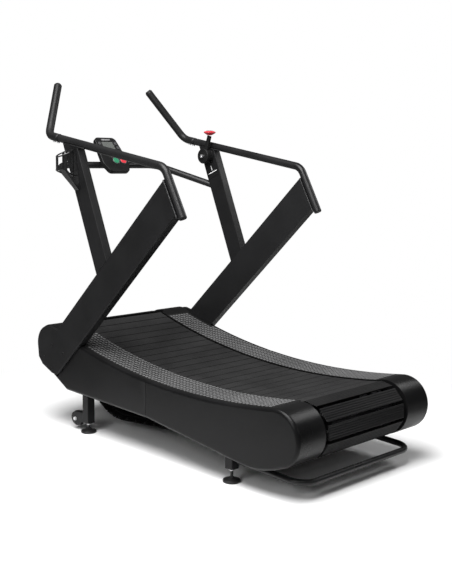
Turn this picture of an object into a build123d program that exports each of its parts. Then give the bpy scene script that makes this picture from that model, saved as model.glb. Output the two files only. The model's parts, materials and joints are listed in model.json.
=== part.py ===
from build123d import *
from math import sin, cos, tan, asin, atan2, hypot, radians, degrees
import os

# Curved manual treadmill: a loop of slats runs over a concave deck between two shafts,
# with side frames, arms and handrails, covers, a console, a resistance lever and a cup holder.
# X points to the user's right, Y forward (running direction), Z up.  Millimetres.
# Origin on the floor under the middle of the machine.
# Two-number points are (Y, Z) in the side view.  Pairs *_X0, *_X1 are the inner and outer
# distances from the middle plane.

os.makedirs("parts", exist_ok=True)

SIDES = (1, -1)                    # right, left

# ---------------------------------------------------------------- driving dimensions
# running belt, walking surface radii
DECK_CENTRE, DECK_RADIUS = (-257.0, 3320.0), 3000.0
REAR_CENTRE, REAR_RADIUS = (-707.0, 243.74), 109.0
FRONT_CENTRE, FRONT_RADIUS = (691.0, 379.01), 90.0
SAG_CENTRE, SAG_RADIUS = (390.0, 312.0), 260.0    # hanging bend of the return run
SLAT_HEIGHT = 17.0                 # walking surface above the belt pitch line
SLAT_COUNT = 57
SLAT_WIDTH = 57.2                  # along the belt
SLAT_LENGTH = 480.0                # across the machine
BELT_THICKNESS = 5.0
BELT_X0, BELT_X1 = 196.0, 216.0
END_GAP = 1.5                      # gap at each end of a drive belt section
SPLIT_BACK = 12.0                  # the belt parts this far before the hanging bend

# structure
BEAM_X0, BEAM_X1 = 301.0, 341.0
LEG_WIDTH = 40.0
LEG_X0 = BEAM_X1
LEG_X1 = LEG_X0 + LEG_WIDTH
LEG_X = LEG_X0 + LEG_WIDTH / 2
LEG_Y_FRONT, LEG_Y_REAR = 473.0, -437.0
FRONT_LEG_BOTTOM, FRONT_LEG_TOP = 45.0, 268.0
REAR_LEG_BOTTOM, REAR_LEG_TOP = 55.0, 250.0
CROSS_Z0, CROSS_Z1 = 190.0, 230.0
CROSS_Y = (LEG_Y_REAR, 20.0, LEG_Y_FRONT)
STUD_HOLE_RADIUS = 6.05

# arms, uprights and rails
ARM_X0, ARM_X1 = 392.0, 432.0
ARM_DEPTH = ARM_X1 - ARM_X0
ARM_ANGLE = 44.3                   # slope down towards the front
ARM_UPPER, ARM_LOWER = 758.0, 611.0    # offsets of the arm's two long edges
ARM_SCREWS = ((651, 386), (567, 360), (715, 322), (657, 276))
UPRIGHT_ANGLE = 67.2
UPRIGHT_REAR, UPRIGHT_FRONT = -80.5, 9.0    # offsets of the upright's two long edges
TUBE_WALL = 3.0
RAIL_X = (ARM_X0 + ARM_X1) / 2
RAIL_RADIUS = 17.0
RAIL_BEND_RADIUS = 62
HANDLE_RADIUS = 15.0
RAIL_CORNER = (684.0, 1333.0)
RAIL_BEND = (-90.0, 1209.5)
RAIL_END = (-198.0, 1015.4)
RAIL_STOP_Y = 588.0                # rail ends here and receives the push handle
HANDLE_START_Y = 545.0
HANDLE_TIP = (274.0, 805.0, 1563.0)
FIT = 0.05                         # radial clearance between tubes

# crossbar
BAR_RADIUS = 16.0
BAR_END = (RAIL_X, 478.0, 1110.0)
BAR_BEND = (300.0, 770.0, 1200.0)
BAR_BEND_RADIUS = 90.0

# covers and foot pads
COVER_X0, COVER_X1 = 247.0, 419.0
CAP_X0 = 263.0                     # inner wall of the roller caps
SEAM_Y = 11.0                      # joint between rear and front covers
SEAM_HALF_GAP = 0.75
SKIN = 3.0
COVER_RISE = 4.0                   # cover top above the walking surface
LIP_X = 398.0                      # the underside is cut away inside this distance
PAD_X0, PAD_X1 = 246.5, 398.0
PAD_THICKNESS = 5.0
PAD_REAR_Y, PAD_FRONT_Y = -672.0, 622.0

# feet and wheels
FOOT_RADIUS = 35.0
WHEEL_CENTRE, WHEEL_RADIUS = (549.0, 52.0), 35.0

# console
CONSOLE_CENTRE = (0.0, 745.0, 1250.0)     # centre of the console face
CONSOLE_NORMAL = (0.0, -0.783, 0.622)     # towards the user
CONSOLE_PLANE = Plane(origin=CONSOLE_CENTRE, x_dir=(1, 0, 0), z_dir=CONSOLE_NORMAL)
CONSOLE_AXIS = Axis((0, 0, 0), CONSOLE_NORMAL)


# ---------------------------------------------------------------- shared helpers
def side_plane(side, inner, outer):
    """Side-view plane where a slab between two distances from the middle starts, going +X."""
    return Plane.YZ.offset(inner if side > 0 else -outer)


def mirrored(part):
    """The left-hand copy of a right-hand part."""
    with BuildPart() as copy:
        mirror(part, about=Plane.YZ)
    return copy.part


def polar(centre, radius, angle):
    return (centre[0] + radius * cos(radians(angle)), centre[1] + radius * sin(radians(angle)))


def polygon_face(*points):
    with BuildSketch() as polygon:
        with BuildLine():
            Polyline(*points, close=True)
        make_face()
    return polygon.sketch


def arc_band(centre, radius_0, radius_1, angle_0, angle_1):
    """Face between two radii and two angles."""
    middle = (angle_0 + angle_1) / 2

    def at(radius, angle):
        return polar(centre, radius, angle)

    with BuildSketch() as sector:
        with BuildLine():
            ThreePointArc(at(radius_0, angle_0), at(radius_0, middle), at(radius_0, angle_1))
            Line(at(radius_0, angle_1), at(radius_1, angle_1))
            ThreePointArc(at(radius_1, angle_1), at(radius_1, middle), at(radius_1, angle_0))
            Line(at(radius_1, angle_0), at(radius_0, angle_0))
        make_face()
    return sector.sketch


def straight_band(start, heading, along_0, along_1, across_0, across_1):
    """Rectangle laid along a heading from a start point."""
    c, s = cos(radians(heading)), sin(radians(heading))

    def at(along, across):
        return (start[0] + along * c - across * s, start[1] + along * s + across * c)

    return polygon_face(at(along_0, across_0), at(along_1, across_0),
                        at(along_1, across_1), at(along_0, across_1))


def swept_tube(points, bend_radius, radius, bore=None):
    """Round rod, or tube if a bore is given, along a polyline with rounded corners."""
    start_direction = Vector(*points[1]) - Vector(*points[0])
    with BuildPart() as tube:
        with BuildLine() as centre_line:
            FilletPolyline(*points, radius=bend_radius)
        with BuildSketch(Plane(origin=points[0], x_dir=(1, 0, 0), z_dir=start_direction)):
            Circle(radius)
            if bore is not None:
                Circle(bore, mode=Mode.SUBTRACT)
        sweep(path=centre_line.line)
    return tube.part


# ---------------------------------------------------------------- belt path
def centre_line_between(start, end):
    """Distance and direction angle from one centre to another."""
    dy, dz = end[0] - start[0], end[1] - start[1]
    return hypot(dy, dz), degrees(atan2(dz, dy))


def deck_heading(centre):
    """Heading of the deck where it meets the wrap round a shaft."""
    return degrees(atan2(centre[0] - DECK_CENTRE[0], DECK_CENTRE[1] - centre[1]))


PITCH_DECK = DECK_RADIUS + SLAT_HEIGHT
PITCH_FRONT = FRONT_RADIUS - SLAT_HEIGHT
PITCH_REAR = REAR_RADIUS - SLAT_HEIGHT
PITCH_SAG = SAG_RADIUS - SLAT_HEIGHT

HEADING_REAR = deck_heading(REAR_CENTRE)
HEADING_FRONT = deck_heading(FRONT_CENTRE)

distance, direction = centre_line_between(SAG_CENTRE, FRONT_CENTRE)
LENGTH_DROP = (distance**2 - (SAG_RADIUS - FRONT_RADIUS) ** 2) ** 0.5
HEADING_DROP = direction + degrees(asin((SAG_RADIUS - FRONT_RADIUS) / distance)) - 180.0

distance, direction = centre_line_between(REAR_CENTRE, SAG_CENTRE)
LENGTH_RETURN = (distance**2 - (SAG_RADIUS - REAR_RADIUS) ** 2) ** 0.5
HEADING_RETURN = direction - degrees(asin((SAG_RADIUS - REAR_RADIUS) / distance)) - 180.0

HEADING_LAST = HEADING_REAR - 360.0    # headings turn clockwise after the deck

# distances along the pitch line, from the rear tangent, where each section ends
END_DECK = PITCH_DECK * radians(HEADING_FRONT - HEADING_REAR)
END_FRONT = END_DECK + PITCH_FRONT * radians(HEADING_FRONT - HEADING_DROP)
END_DROP = END_FRONT + LENGTH_DROP
END_SAG = END_DROP + PITCH_SAG * radians(HEADING_DROP - HEADING_RETURN)
END_RETURN = END_SAG + LENGTH_RETURN
LOOP = END_RETURN + PITCH_REAR * radians(HEADING_RETURN - HEADING_LAST)
SLAT_PITCH = LOOP / SLAT_COUNT


def wrap_point(centre, radius, start_heading, travel):
    """Point and heading on a clockwise wrap, a travelled length after its start."""
    heading = start_heading - degrees(travel / radius)
    return polar(centre, radius, heading + 90), heading


def run_point(centre, radius, heading, travel):
    """Point and heading on a straight run that leaves a wrap."""
    y, z = polar(centre, radius, heading + 90)
    return (y + travel * cos(radians(heading)), z + travel * sin(radians(heading))), heading


def belt_point(s):
    """Point on the pitch line and heading, s measured forward from the rear tangent."""
    if s < END_DECK:
        heading = HEADING_REAR + degrees(s / PITCH_DECK)
        return polar(DECK_CENTRE, PITCH_DECK, heading - 90), heading
    if s < END_FRONT:
        return wrap_point(FRONT_CENTRE, PITCH_FRONT, HEADING_FRONT, s - END_DECK)
    if s < END_DROP:
        return run_point(FRONT_CENTRE, PITCH_FRONT, HEADING_DROP, s - END_FRONT)
    if s < END_SAG:
        return wrap_point(SAG_CENTRE, PITCH_SAG, HEADING_DROP, s - END_DROP)
    if s < END_RETURN:
        return run_point(SAG_CENTRE, PITCH_SAG, HEADING_RETURN, s - END_SAG)
    return wrap_point(REAR_CENTRE, PITCH_REAR, HEADING_RETURN, s - END_RETURN)


def slat_places(start, end):
    """Locations of the slats whose middles lie between two distances along the loop."""
    places = []
    for k in range(SLAT_COUNT):
        s = (k + 0.5) * SLAT_PITCH
        if start <= s < end:
            (y, z), heading = belt_point(s)
            places.append(Location((0, y, z), (heading, 0, 0)))
    return places


# ---------------------------------------------------------------- arm, upright and rail lines
def arm_point(offset, along):
    """Point at an offset across the arm direction and a distance down along it."""
    a = radians(ARM_ANGLE)
    return (sin(a) * offset + cos(a) * along, cos(a) * offset - sin(a) * along)


def upright_point(offset, along):
    """Point at a forward offset from the upright's line and a distance up along it."""
    a = radians(UPRIGHT_ANGLE)
    return (sin(a) * offset + cos(a) * along, -cos(a) * offset + sin(a) * along)


def along_at(line_point, offset, measure, limit):
    """Distance along a line of points at which measure(point) reaches the limit."""
    start = measure(line_point(offset, 0.0))
    step = measure(line_point(offset, 1.0)) - start
    return (limit - start) / step


RAIL_SLOPE = atan2(RAIL_CORNER[1] - RAIL_BEND[1], RAIL_CORNER[0] - RAIL_BEND[0])
TAIL_SLOPE = atan2(RAIL_BEND[1] - RAIL_END[1], RAIL_BEND[0] - RAIL_END[0])


def above_rail(point):
    y, z = point[0] - RAIL_BEND[0], point[1] - RAIL_BEND[1]
    return -y * sin(RAIL_SLOPE) + z * cos(RAIL_SLOPE)


def ahead_of_tail(point):
    y, z = point[0] - RAIL_BEND[0], point[1] - RAIL_BEND[1]
    return y * sin(TAIL_SLOPE) - z * cos(TAIL_SLOPE)


def arm_offset(point):
    a = radians(ARM_ANGLE)
    return sin(a) * point[0] + cos(a) * point[1]


def rail_z(y):
    """Height of the rail's centre line on its long straight."""
    return RAIL_CORNER[1] - (RAIL_CORNER[0] - y) * tan(RAIL_SLOPE)


RAIL_TAIL_POINTS = ((RAIL_X, *RAIL_END), (RAIL_X, *RAIL_BEND))
# solid rod that makes room for the rail in the arm and the upright
RAIL_ROD = swept_tube((*RAIL_TAIL_POINTS, (RAIL_X, *RAIL_CORNER)),
                      RAIL_BEND_RADIUS, RAIL_RADIUS + FIT)


# ================================================================ belt
def build_slat():
    """One slat at the origin, tread up: grooved tread on a narrower carrier."""
    half = SLAT_WIDTH / 2
    underside = 10.0
    groove_pitch, groove_floor = 9.5, SLAT_HEIGHT - 1.4
    groove_half_top, groove_half_floor = 1.2, 0.8
    edge_bevel = 1.0
    stem_half, stem_bottom = 9.0, 0.1
    stem_flare = 1.5

    points = [(-half, underside), (-half, SLAT_HEIGHT - edge_bevel),
              (-half + edge_bevel, SLAT_HEIGHT)]
    for k in range(-2, 3):
        u = k * groove_pitch
        points += [(u - groove_half_top, SLAT_HEIGHT), (u - groove_half_floor, groove_floor),
                   (u + groove_half_floor, groove_floor), (u + groove_half_top, SLAT_HEIGHT)]
    points += [(half - edge_bevel, SLAT_HEIGHT), (half, SLAT_HEIGHT - edge_bevel),
               (half, underside), (stem_half + stem_flare, underside),
               (stem_half, underside - stem_flare), (stem_half, stem_bottom),
               (-stem_half, stem_bottom), (-stem_half, underside - stem_flare),
               (-stem_half - stem_flare, underside)]
    with BuildPart() as slat:
        with BuildSketch(Plane.YZ.offset(-SLAT_LENGTH / 2)):
            with BuildLine():
                Polyline(*points, close=True)
            make_face()
        extrude(amount=SLAT_LENGTH)
    return slat.part


SLAT = build_slat()


def build_belt_section(start, end, band):
    """The slats of one section of the loop, with the drive belt band on each side."""
    with BuildPart() as section:
        with Locations(*slat_places(start, end)):
            add(SLAT)
        for side in SIDES:
            with BuildSketch(side_plane(side, BELT_X0, BELT_X1)):
                add(band)
            extrude(amount=BELT_X1 - BELT_X0)
    return section.part


def wrap_band(centre, pitch_radius, start_heading, end_heading, extra_angle=0.0):
    """Drive belt face on a clockwise wrap, begun an extra angle early."""
    gap = degrees(END_GAP / pitch_radius)
    return arc_band(centre, pitch_radius, pitch_radius - BELT_THICKNESS,
                    start_heading + 90 + extra_angle - gap, end_heading + 90 + gap)


def run_band(start, heading, length):
    """Drive belt face on a straight run."""
    return straight_band(belt_point(start)[0], heading, END_GAP, length - END_GAP,
                         -BELT_THICKNESS, 0)


def deck_band():
    gap = degrees(END_GAP / PITCH_DECK)
    return arc_band(DECK_CENTRE, PITCH_DECK, PITCH_DECK + BELT_THICKNESS,
                    HEADING_REAR - 90 + gap, HEADING_FRONT - 90 - gap)


# name: start, end, drive belt face
BELT_SECTIONS = {
    "belt_deck": (0, END_DECK, deck_band()),
    "belt_front": (END_DECK, END_FRONT,
                   wrap_band(FRONT_CENTRE, PITCH_FRONT, HEADING_FRONT, HEADING_DROP)),
    "belt_drop": (END_FRONT, END_DROP,
                  run_band(END_FRONT, HEADING_DROP, LENGTH_DROP - SPLIT_BACK)),
    "belt_sag": (END_DROP, END_SAG,
                 wrap_band(SAG_CENTRE, PITCH_SAG, HEADING_DROP, HEADING_RETURN,
                           degrees(SPLIT_BACK / PITCH_SAG))),
    "belt_return": (END_SAG, END_RETURN, run_band(END_SAG, HEADING_RETURN, LENGTH_RETURN)),
    "belt_rear": (END_RETURN, LOOP,
                  wrap_band(REAR_CENTRE, PITCH_REAR, HEADING_RETURN, HEADING_LAST)),
}

# ================================================================ shafts and brake
SHAFT_RADIUS = 15.0
SHAFT_END = 322.0                  # shaft ends this far from the middle plane
PULLEY_X0, PULLEY_X1 = 194.0, 218.0
HUB_OVERHANG = 8.0                 # hub beyond each pulley face
PULLEY_FIT = 0.1

DISC_X0, DISC_X1 = 352.0, 358.0
DISC_HUB_LENGTH = 10.0
YOKE_PIVOT = (578.0, 344.0)


def build_shaft(centre, right_end, pitch_radius, hole_circle, hole_radius, hub_radius):
    """Shaft with a pulley and hub on each side, six lightening holes in each pulley."""
    with BuildPart() as shaft:
        with BuildSketch(Plane.YZ.offset(-SHAFT_END)):
            with Locations(centre):
                Circle(SHAFT_RADIUS)
        extrude(amount=SHAFT_END + right_end)
        for side in SIDES:
            with BuildSketch(side_plane(side, PULLEY_X0, PULLEY_X1)):
                with Locations(centre):
                    Circle(pitch_radius - BELT_THICKNESS - PULLEY_FIT)
                    with PolarLocations(hole_circle, 6):
                        Circle(hole_radius, mode=Mode.SUBTRACT)
            extrude(amount=PULLEY_X1 - PULLEY_X0)
            with BuildSketch(side_plane(side, PULLEY_X0 - HUB_OVERHANG, PULLEY_X1 + HUB_OVERHANG)):
                with Locations(centre):
                    Circle(hub_radius)
            extrude(amount=PULLEY_X1 - PULLEY_X0 + 2 * HUB_OVERHANG)
        for end in (-1, 0):
            chamfer(shaft.faces().filter_by(Axis.X).sort_by(Axis.X)[end].edges(), 1.5)
    return shaft.part


def build_shaft_bearings():
    """Four flange bearing units on the inner faces of the shaft plates."""
    flange_thickness, flange_radius = 14.0, 38.0
    boss_thickness, boss_radius = 7.0, 26.0
    flange_x0 = BEAM_X0 - flange_thickness
    with BuildPart() as bearings:
        for centre in (FRONT_CENTRE, REAR_CENTRE):
            for side in SIDES:
                with BuildSketch(side_plane(side, flange_x0, BEAM_X0)):
                    with Locations(centre):
                        Circle(flange_radius)
                        Circle(SHAFT_RADIUS + FIT, mode=Mode.SUBTRACT)
                extrude(amount=flange_thickness)
                with BuildSketch(side_plane(side, flange_x0 - boss_thickness, flange_x0)):
                    with Locations(centre):
                        Circle(boss_radius)
                        Circle(SHAFT_RADIUS + FIT, mode=Mode.SUBTRACT)
                extrude(amount=boss_thickness)
    return bearings.part


def build_brake_disc():
    """Aluminium disc on the right end of the front shaft, with a hub on its inner face."""
    with BuildPart() as disc:
        with BuildSketch(Plane.YZ.offset(DISC_X0)):
            with Locations(FRONT_CENTRE):
                Circle(74)
                Circle(SHAFT_RADIUS, mode=Mode.SUBTRACT)
                with PolarLocations(42, 8):
                    Circle(8, mode=Mode.SUBTRACT)
        extrude(amount=DISC_X1 - DISC_X0)
        with BuildSketch(Plane.YZ.offset(DISC_X0 - DISC_HUB_LENGTH)):
            with Locations(FRONT_CENTRE):
                Circle(24)
                Circle(SHAFT_RADIUS, mode=Mode.SUBTRACT)
        extrude(amount=DISC_HUB_LENGTH)
    return disc.part


def build_magnet_yoke():
    yoke_x, yoke_thickness = 346.0, 18.0
    slot_x, slot_width, slot_radius = 349.5, 11.0, 98.0
    with BuildPart() as yoke:
        with BuildSketch(Plane.YZ.offset(yoke_x)):
            add(polygon_face((566, 332), (590, 330), (604, 352), (640, 396), (622, 420),
                             (596, 396), (566, 358)))
        extrude(amount=yoke_thickness)
        fillet(yoke.edges().filter_by(Axis.X), 5)
        # slot that straddles the disc
        with BuildSketch(Plane.YZ.offset(slot_x)):
            with Locations(FRONT_CENTRE):
                Circle(slot_radius)
        extrude(amount=slot_width, mode=Mode.SUBTRACT)
        # pivot hole
        with BuildSketch(Plane.YZ.offset(yoke_x - 1)):
            with Locations(YOKE_PIVOT):
                Circle(5.05)
        extrude(amount=yoke_thickness + 2, mode=Mode.SUBTRACT)
    return yoke.part


# ================================================================ frame
FRONT_SHAFT_PLATE = ((575, 262), (668, 262), (745, 345), (745, 412), (700, 433),
                     (650, 420), (575, 322))
REAR_SHAFT_PLATE = ((-610, 172), (-610, 246), (-660, 300), (-742, 300),
                    (-768, 252), (-752, 190), (-700, 166))
SHAFT_PLATE_THICKNESS = 10.0
BEAM_Y_REAR, BEAM_Y_FRONT = -668, 640
BEAM_HALF_HEIGHT = 40.0


def beam_z(y):
    """Height of the side beam's centre line."""
    return 215.0 + (y + 450.0) * 0.065


def beam_face(rear, front, half_height):
    """Side view of a length of the sloping beam."""
    return polygon_face((rear, beam_z(rear) - half_height), (front, beam_z(front) - half_height),
                        (front, beam_z(front) + half_height), (rear, beam_z(rear) + half_height))


def build_side_frame(side):
    """Box beam with shaft plates and arm brackets; the right one also has the yoke pivot."""
    plate_x1 = BEAM_X0 + SHAFT_PLATE_THICKNESS
    pivot_boss_length, pivot_pin_length = 42, 24
    with BuildPart() as frame:
        with BuildSketch(side_plane(side, BEAM_X0, BEAM_X1)):
            add(beam_face(BEAM_Y_REAR, BEAM_Y_FRONT, BEAM_HALF_HEIGHT))
        extrude(amount=BEAM_X1 - BEAM_X0)
        # hollow box section, open at both ends
        with BuildSketch(side_plane(side, BEAM_X0 + TUBE_WALL, BEAM_X1 - TUBE_WALL)):
            add(beam_face(BEAM_Y_REAR - 2, BEAM_Y_FRONT + 2, BEAM_HALF_HEIGHT - TUBE_WALL))
        extrude(amount=BEAM_X1 - BEAM_X0 - 2 * TUBE_WALL, mode=Mode.SUBTRACT)
        # shaft plates and their shaft holes
        for plate in (FRONT_SHAFT_PLATE, REAR_SHAFT_PLATE):
            with BuildSketch(side_plane(side, BEAM_X0, plate_x1)):
                add(polygon_face(*plate))
            extrude(amount=SHAFT_PLATE_THICKNESS)
        with BuildSketch(side_plane(side, BEAM_X0 - 1, plate_x1 + 1)):
            with Locations(FRONT_CENTRE, REAR_CENTRE):
                Circle(SHAFT_RADIUS + 2)
        extrude(amount=SHAFT_PLATE_THICKNESS + 2, mode=Mode.SUBTRACT)
        # brackets that carry the arm base
        with BuildSketch(side_plane(side, BEAM_X1, ARM_X0)):
            with Locations((630, 281), (540, 300)):
                Rectangle(60, 34)
        extrude(amount=ARM_X0 - BEAM_X1)
        if side > 0:
            # boss and pivot pin of the magnet yoke
            with BuildSketch(Plane.YZ.offset(BEAM_X0)):
                with Locations(YOKE_PIVOT):
                    Circle(14)
            extrude(amount=pivot_boss_length)
            with BuildSketch(Plane.YZ.offset(BEAM_X0 + pivot_boss_length)):
                with Locations(YOKE_PIVOT):
                    Circle(5)
            extrude(amount=pivot_pin_length)
    return frame.part


def build_cross_members():
    """Square cross tubes between the side beams."""
    size = CROSS_Z1 - CROSS_Z0
    bore = size - 2 * TUBE_WALL
    with BuildPart() as members:
        for y in CROSS_Y:
            with BuildSketch(Plane.YZ.offset(-BEAM_X0)):
                with Locations((y, (CROSS_Z0 + CROSS_Z1) / 2)):
                    RectangleRounded(size, size, 4)
                    RectangleRounded(bore, bore, 2, mode=Mode.SUBTRACT)
            extrude(amount=2 * BEAM_X0)
    return members.part


def build_legs(y, bottom, top, wheel_forks):
    """A pair of square tube legs with a stud hole in the closed bottom."""
    floor = 4
    bore = LEG_WIDTH - 2 * TUBE_WALL
    fork_inset, fork_thickness = 2, 4
    with BuildPart() as legs:
        for side in SIDES:
            with BuildSketch(Plane.XY.offset(bottom)):
                with Locations((side * LEG_X, y)):
                    RectangleRounded(LEG_WIDTH, LEG_WIDTH, 3)
            extrude(amount=top - bottom)
            with BuildSketch(Plane.XY.offset(bottom + floor)):
                with Locations((side * LEG_X, y)):
                    Rectangle(bore, bore)
            extrude(amount=top - bottom - floor, mode=Mode.SUBTRACT)
            with BuildSketch(Plane.XY.offset(bottom - 1)):
                with Locations((side * LEG_X, y)):
                    Circle(STUD_HOLE_RADIUS)
            extrude(amount=floor + 2, mode=Mode.SUBTRACT)
            if wheel_forks:
                leg_start = LEG_X0 if side > 0 else -LEG_X1
                front_face = y + LEG_WIDTH / 2
                for offset in (fork_inset, LEG_WIDTH - fork_inset - fork_thickness):
                    with BuildSketch(Plane.YZ.offset(leg_start + offset)):
                        add(polygon_face((front_face, 88), (WHEEL_CENTRE[0], 84),
                                         (WHEEL_CENTRE[0], 26), (front_face, 46)))
                        with Locations((WHEEL_CENTRE[0], 55)):
                            Circle(29)
                        with Locations(WHEEL_CENTRE):
                            Circle(5.1, mode=Mode.SUBTRACT)
                    extrude(amount=fork_thickness)
    return legs.part


def build_lift_handle():
    """U-shaped lift handle at the rear."""
    half_width, front_y, front_z, rear_y, rear_z = 345, -457.7, 86, -789, 72
    points = ((half_width, front_y, front_z), (half_width, rear_y, rear_z),
              (-half_width, rear_y, rear_z), (-half_width, front_y, front_z))
    return swept_tube(points, 70, 12.5)


# ---------------------------------------------------------------- deck support
BEARING_RADIUS = 16.0
BEARING_PATH = PITCH_DECK + BELT_THICKNESS + BEARING_RADIUS + 0.3
BEARING_COUNT = 23
BEARING_FIRST, BEARING_LAST = -5.9, 15.4          # degrees from the deck's lowest point
BEARING_STEP = (BEARING_LAST - BEARING_FIRST) / (BEARING_COUNT - 1)
BEARING_POINTS = [polar(DECK_CENTRE, BEARING_PATH, BEARING_FIRST + k * BEARING_STEP - 90)
                  for k in range(BEARING_COUNT)]
BOLT_RADIUS = 6.0
DECK_RAIL_X0, DECK_RAIL_X1 = 228.0, 234.0
DECK_RAIL_ANGLES = (-6.4, 15.9)
BEARING_X0, BEARING_X1 = 200.0, 212.0


def build_deck_rails():
    """Curved deck rails with posts down to the cross tubes."""
    thickness = DECK_RAIL_X1 - DECK_RAIL_X0
    rear_angle, front_angle = DECK_RAIL_ANGLES
    with BuildPart() as rails:
        for side in SIDES:
            with BuildSketch(side_plane(side, DECK_RAIL_X0, DECK_RAIL_X1)):
                add(arc_band(DECK_CENTRE, BEARING_PATH - 14, BEARING_PATH + 22,
                             rear_angle - 90, front_angle - 90))
                for y in CROSS_Y:
                    drop = (BEARING_PATH**2 - (y - DECK_CENTRE[0]) ** 2) ** 0.5
                    top = DECK_CENTRE[1] - drop - 8
                    add(polygon_face((y - 22, CROSS_Z1), (y + 22, CROSS_Z1),
                                     (y + 30, top), (y - 30, top - 4)))
            extrude(amount=thickness)
            with BuildSketch(side_plane(side, DECK_RAIL_X0 - 1, DECK_RAIL_X1 + 1)):
                with Locations(*BEARING_POINTS):
                    Circle(BOLT_RADIUS + FIT)
            extrude(amount=thickness + 2, mode=Mode.SUBTRACT)
    return rails.part


def build_deck_bearings():
    with BuildPart() as bearings:
        for side in SIDES:
            with BuildSketch(side_plane(side, BEARING_X0, BEARING_X1)):
                with Locations(*BEARING_POINTS):
                    Circle(BEARING_RADIUS)
                    Circle(BOLT_RADIUS + FIT, mode=Mode.SUBTRACT)
            extrude(amount=BEARING_X1 - BEARING_X0)
    return bearings.part


def build_bearing_bolts():
    """Bolt, hexagon on its outer end and spacer for every deck bearing."""
    bolt_x0, bolt_x1 = 196.0, 238.0
    hexagon_x0, hexagon_x1 = 234.0, 240.0
    spacer_x0, spacer_x1 = 212.2, 227.9
    with BuildPart() as bolts:
        for side in SIDES:
            with BuildSketch(side_plane(side, bolt_x0, bolt_x1)):
                with Locations(*BEARING_POINTS):
                    Circle(BOLT_RADIUS)
            extrude(amount=bolt_x1 - bolt_x0)
            with BuildSketch(side_plane(side, hexagon_x0, hexagon_x1)):
                with Locations(*BEARING_POINTS):
                    RegularPolygon(9.5, 6)
            extrude(amount=hexagon_x1 - hexagon_x0)
            with BuildSketch(side_plane(side, spacer_x0, spacer_x1)):
                with Locations(*BEARING_POINTS):
                    Circle(8.5)
            extrude(amount=spacer_x1 - spacer_x0)
    return bolts.part


# ================================================================ arms and uprights
ARM_END_CUT = 9.0                  # arm's upper end, ahead of the rail tail's centre line
ARM_FOOT_UPPER = arm_point(ARM_UPPER, 122.0)
ARM_FOOT_LOWER = arm_point(ARM_LOWER, 262.0)
NOSE_CENTRE, NOSE_RADIUS = (675.0, 383.0), 88.0
NOSE_X0 = ARM_X0 + 22              # inner face of the nose plate
UPRIGHT_TOP = -10.0                # upright's top, measured from the rail centre line


def nose_face(radius, end_angles, corners):
    """Polyline of corners closed by an arc round the nose, between two angles."""
    first, last = end_angles
    with BuildSketch() as nose:
        with BuildLine():
            Polyline(polar(NOSE_CENTRE, radius, first), *corners, polar(NOSE_CENTRE, radius, last))
            ThreePointArc(polar(NOSE_CENTRE, radius, last), polar(NOSE_CENTRE, radius, 39),
                          polar(NOSE_CENTRE, radius, first))
        make_face()
    return nose.sketch


def build_arm_right():
    top_upper = along_at(arm_point, ARM_UPPER, ahead_of_tail, ARM_END_CUT)
    top_lower = along_at(arm_point, ARM_LOWER, ahead_of_tail, ARM_END_CUT)
    with BuildPart() as arm:
        with BuildSketch(Plane.YZ.offset(ARM_X0)):
            add(polygon_face(arm_point(ARM_UPPER, top_upper), ARM_FOOT_UPPER,
                             ARM_FOOT_LOWER, arm_point(ARM_LOWER, top_lower)))
        extrude(amount=ARM_DEPTH)
        # rounded nose plate that the base screws pass through
        with BuildSketch(Plane.YZ.offset(NOSE_X0)):
            add(nose_face(NOSE_RADIUS, (90, -12), ((612, 459), (560, 400), ARM_FOOT_LOWER,
                                                   (653, 256), (727, 287), (756, 318))))
        extrude(amount=ARM_X1 - NOSE_X0)
        fillet(arm.edges().filter_by(GeomType.LINE).filter_by(
            lambda edge: abs(edge.center().X - ARM_X1) < 0.01 and edge.length > 300), 4)
        # hollow box section
        with BuildSketch(Plane.YZ.offset(ARM_X0 + TUBE_WALL)):
            add(polygon_face(arm_point(ARM_UPPER - TUBE_WALL, top_upper - 25),
                             arm_point(ARM_UPPER - TUBE_WALL, 80),
                             arm_point(ARM_LOWER + TUBE_WALL, 200),
                             arm_point(ARM_LOWER + TUBE_WALL, top_lower - 25)))
        extrude(amount=ARM_DEPTH - 2 * TUBE_WALL, mode=Mode.SUBTRACT)
        add(RAIL_ROD, mode=Mode.SUBTRACT)
        # clearance holes of the four base screws
        with BuildSketch(Plane.YZ.offset(ARM_X1 - 18)):
            with Locations(*ARM_SCREWS):
                Circle(4.1)
        extrude(amount=20, mode=Mode.SUBTRACT)
    return arm.part


def build_upright_right():
    """Box section between the arm's upper edge and the rail."""
    rear_foot = along_at(upright_point, UPRIGHT_REAR, arm_offset, ARM_UPPER)
    front_foot = along_at(upright_point, UPRIGHT_FRONT, arm_offset, ARM_UPPER)
    rear_top = along_at(upright_point, UPRIGHT_REAR, above_rail, UPRIGHT_TOP)
    front_top = along_at(upright_point, UPRIGHT_FRONT, above_rail, UPRIGHT_TOP)
    overrun = 90                   # the bore runs out through both ends
    with BuildPart() as upright:
        with BuildSketch(Plane.YZ.offset(ARM_X0)):
            add(polygon_face(upright_point(UPRIGHT_REAR, rear_foot),
                             upright_point(UPRIGHT_REAR, rear_top),
                             upright_point(UPRIGHT_FRONT, front_top),
                             upright_point(UPRIGHT_FRONT, front_foot)))
        extrude(amount=ARM_DEPTH)
        fillet(upright.edges().filter_by(GeomType.LINE).filter_by(
            lambda edge: edge.length > 200), 3)
        with BuildSketch(Plane.YZ.offset(ARM_X0 + TUBE_WALL)):
            add(polygon_face(upright_point(UPRIGHT_REAR + TUBE_WALL, rear_foot - overrun),
                             upright_point(UPRIGHT_REAR + TUBE_WALL, rear_top + overrun),
                             upright_point(UPRIGHT_FRONT - TUBE_WALL, front_top + overrun),
                             upright_point(UPRIGHT_FRONT - TUBE_WALL, front_foot - overrun)))
        extrude(amount=ARM_DEPTH - 2 * TUBE_WALL, mode=Mode.SUBTRACT)
        add(RAIL_ROD, mode=Mode.SUBTRACT)
    return upright.part


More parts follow.
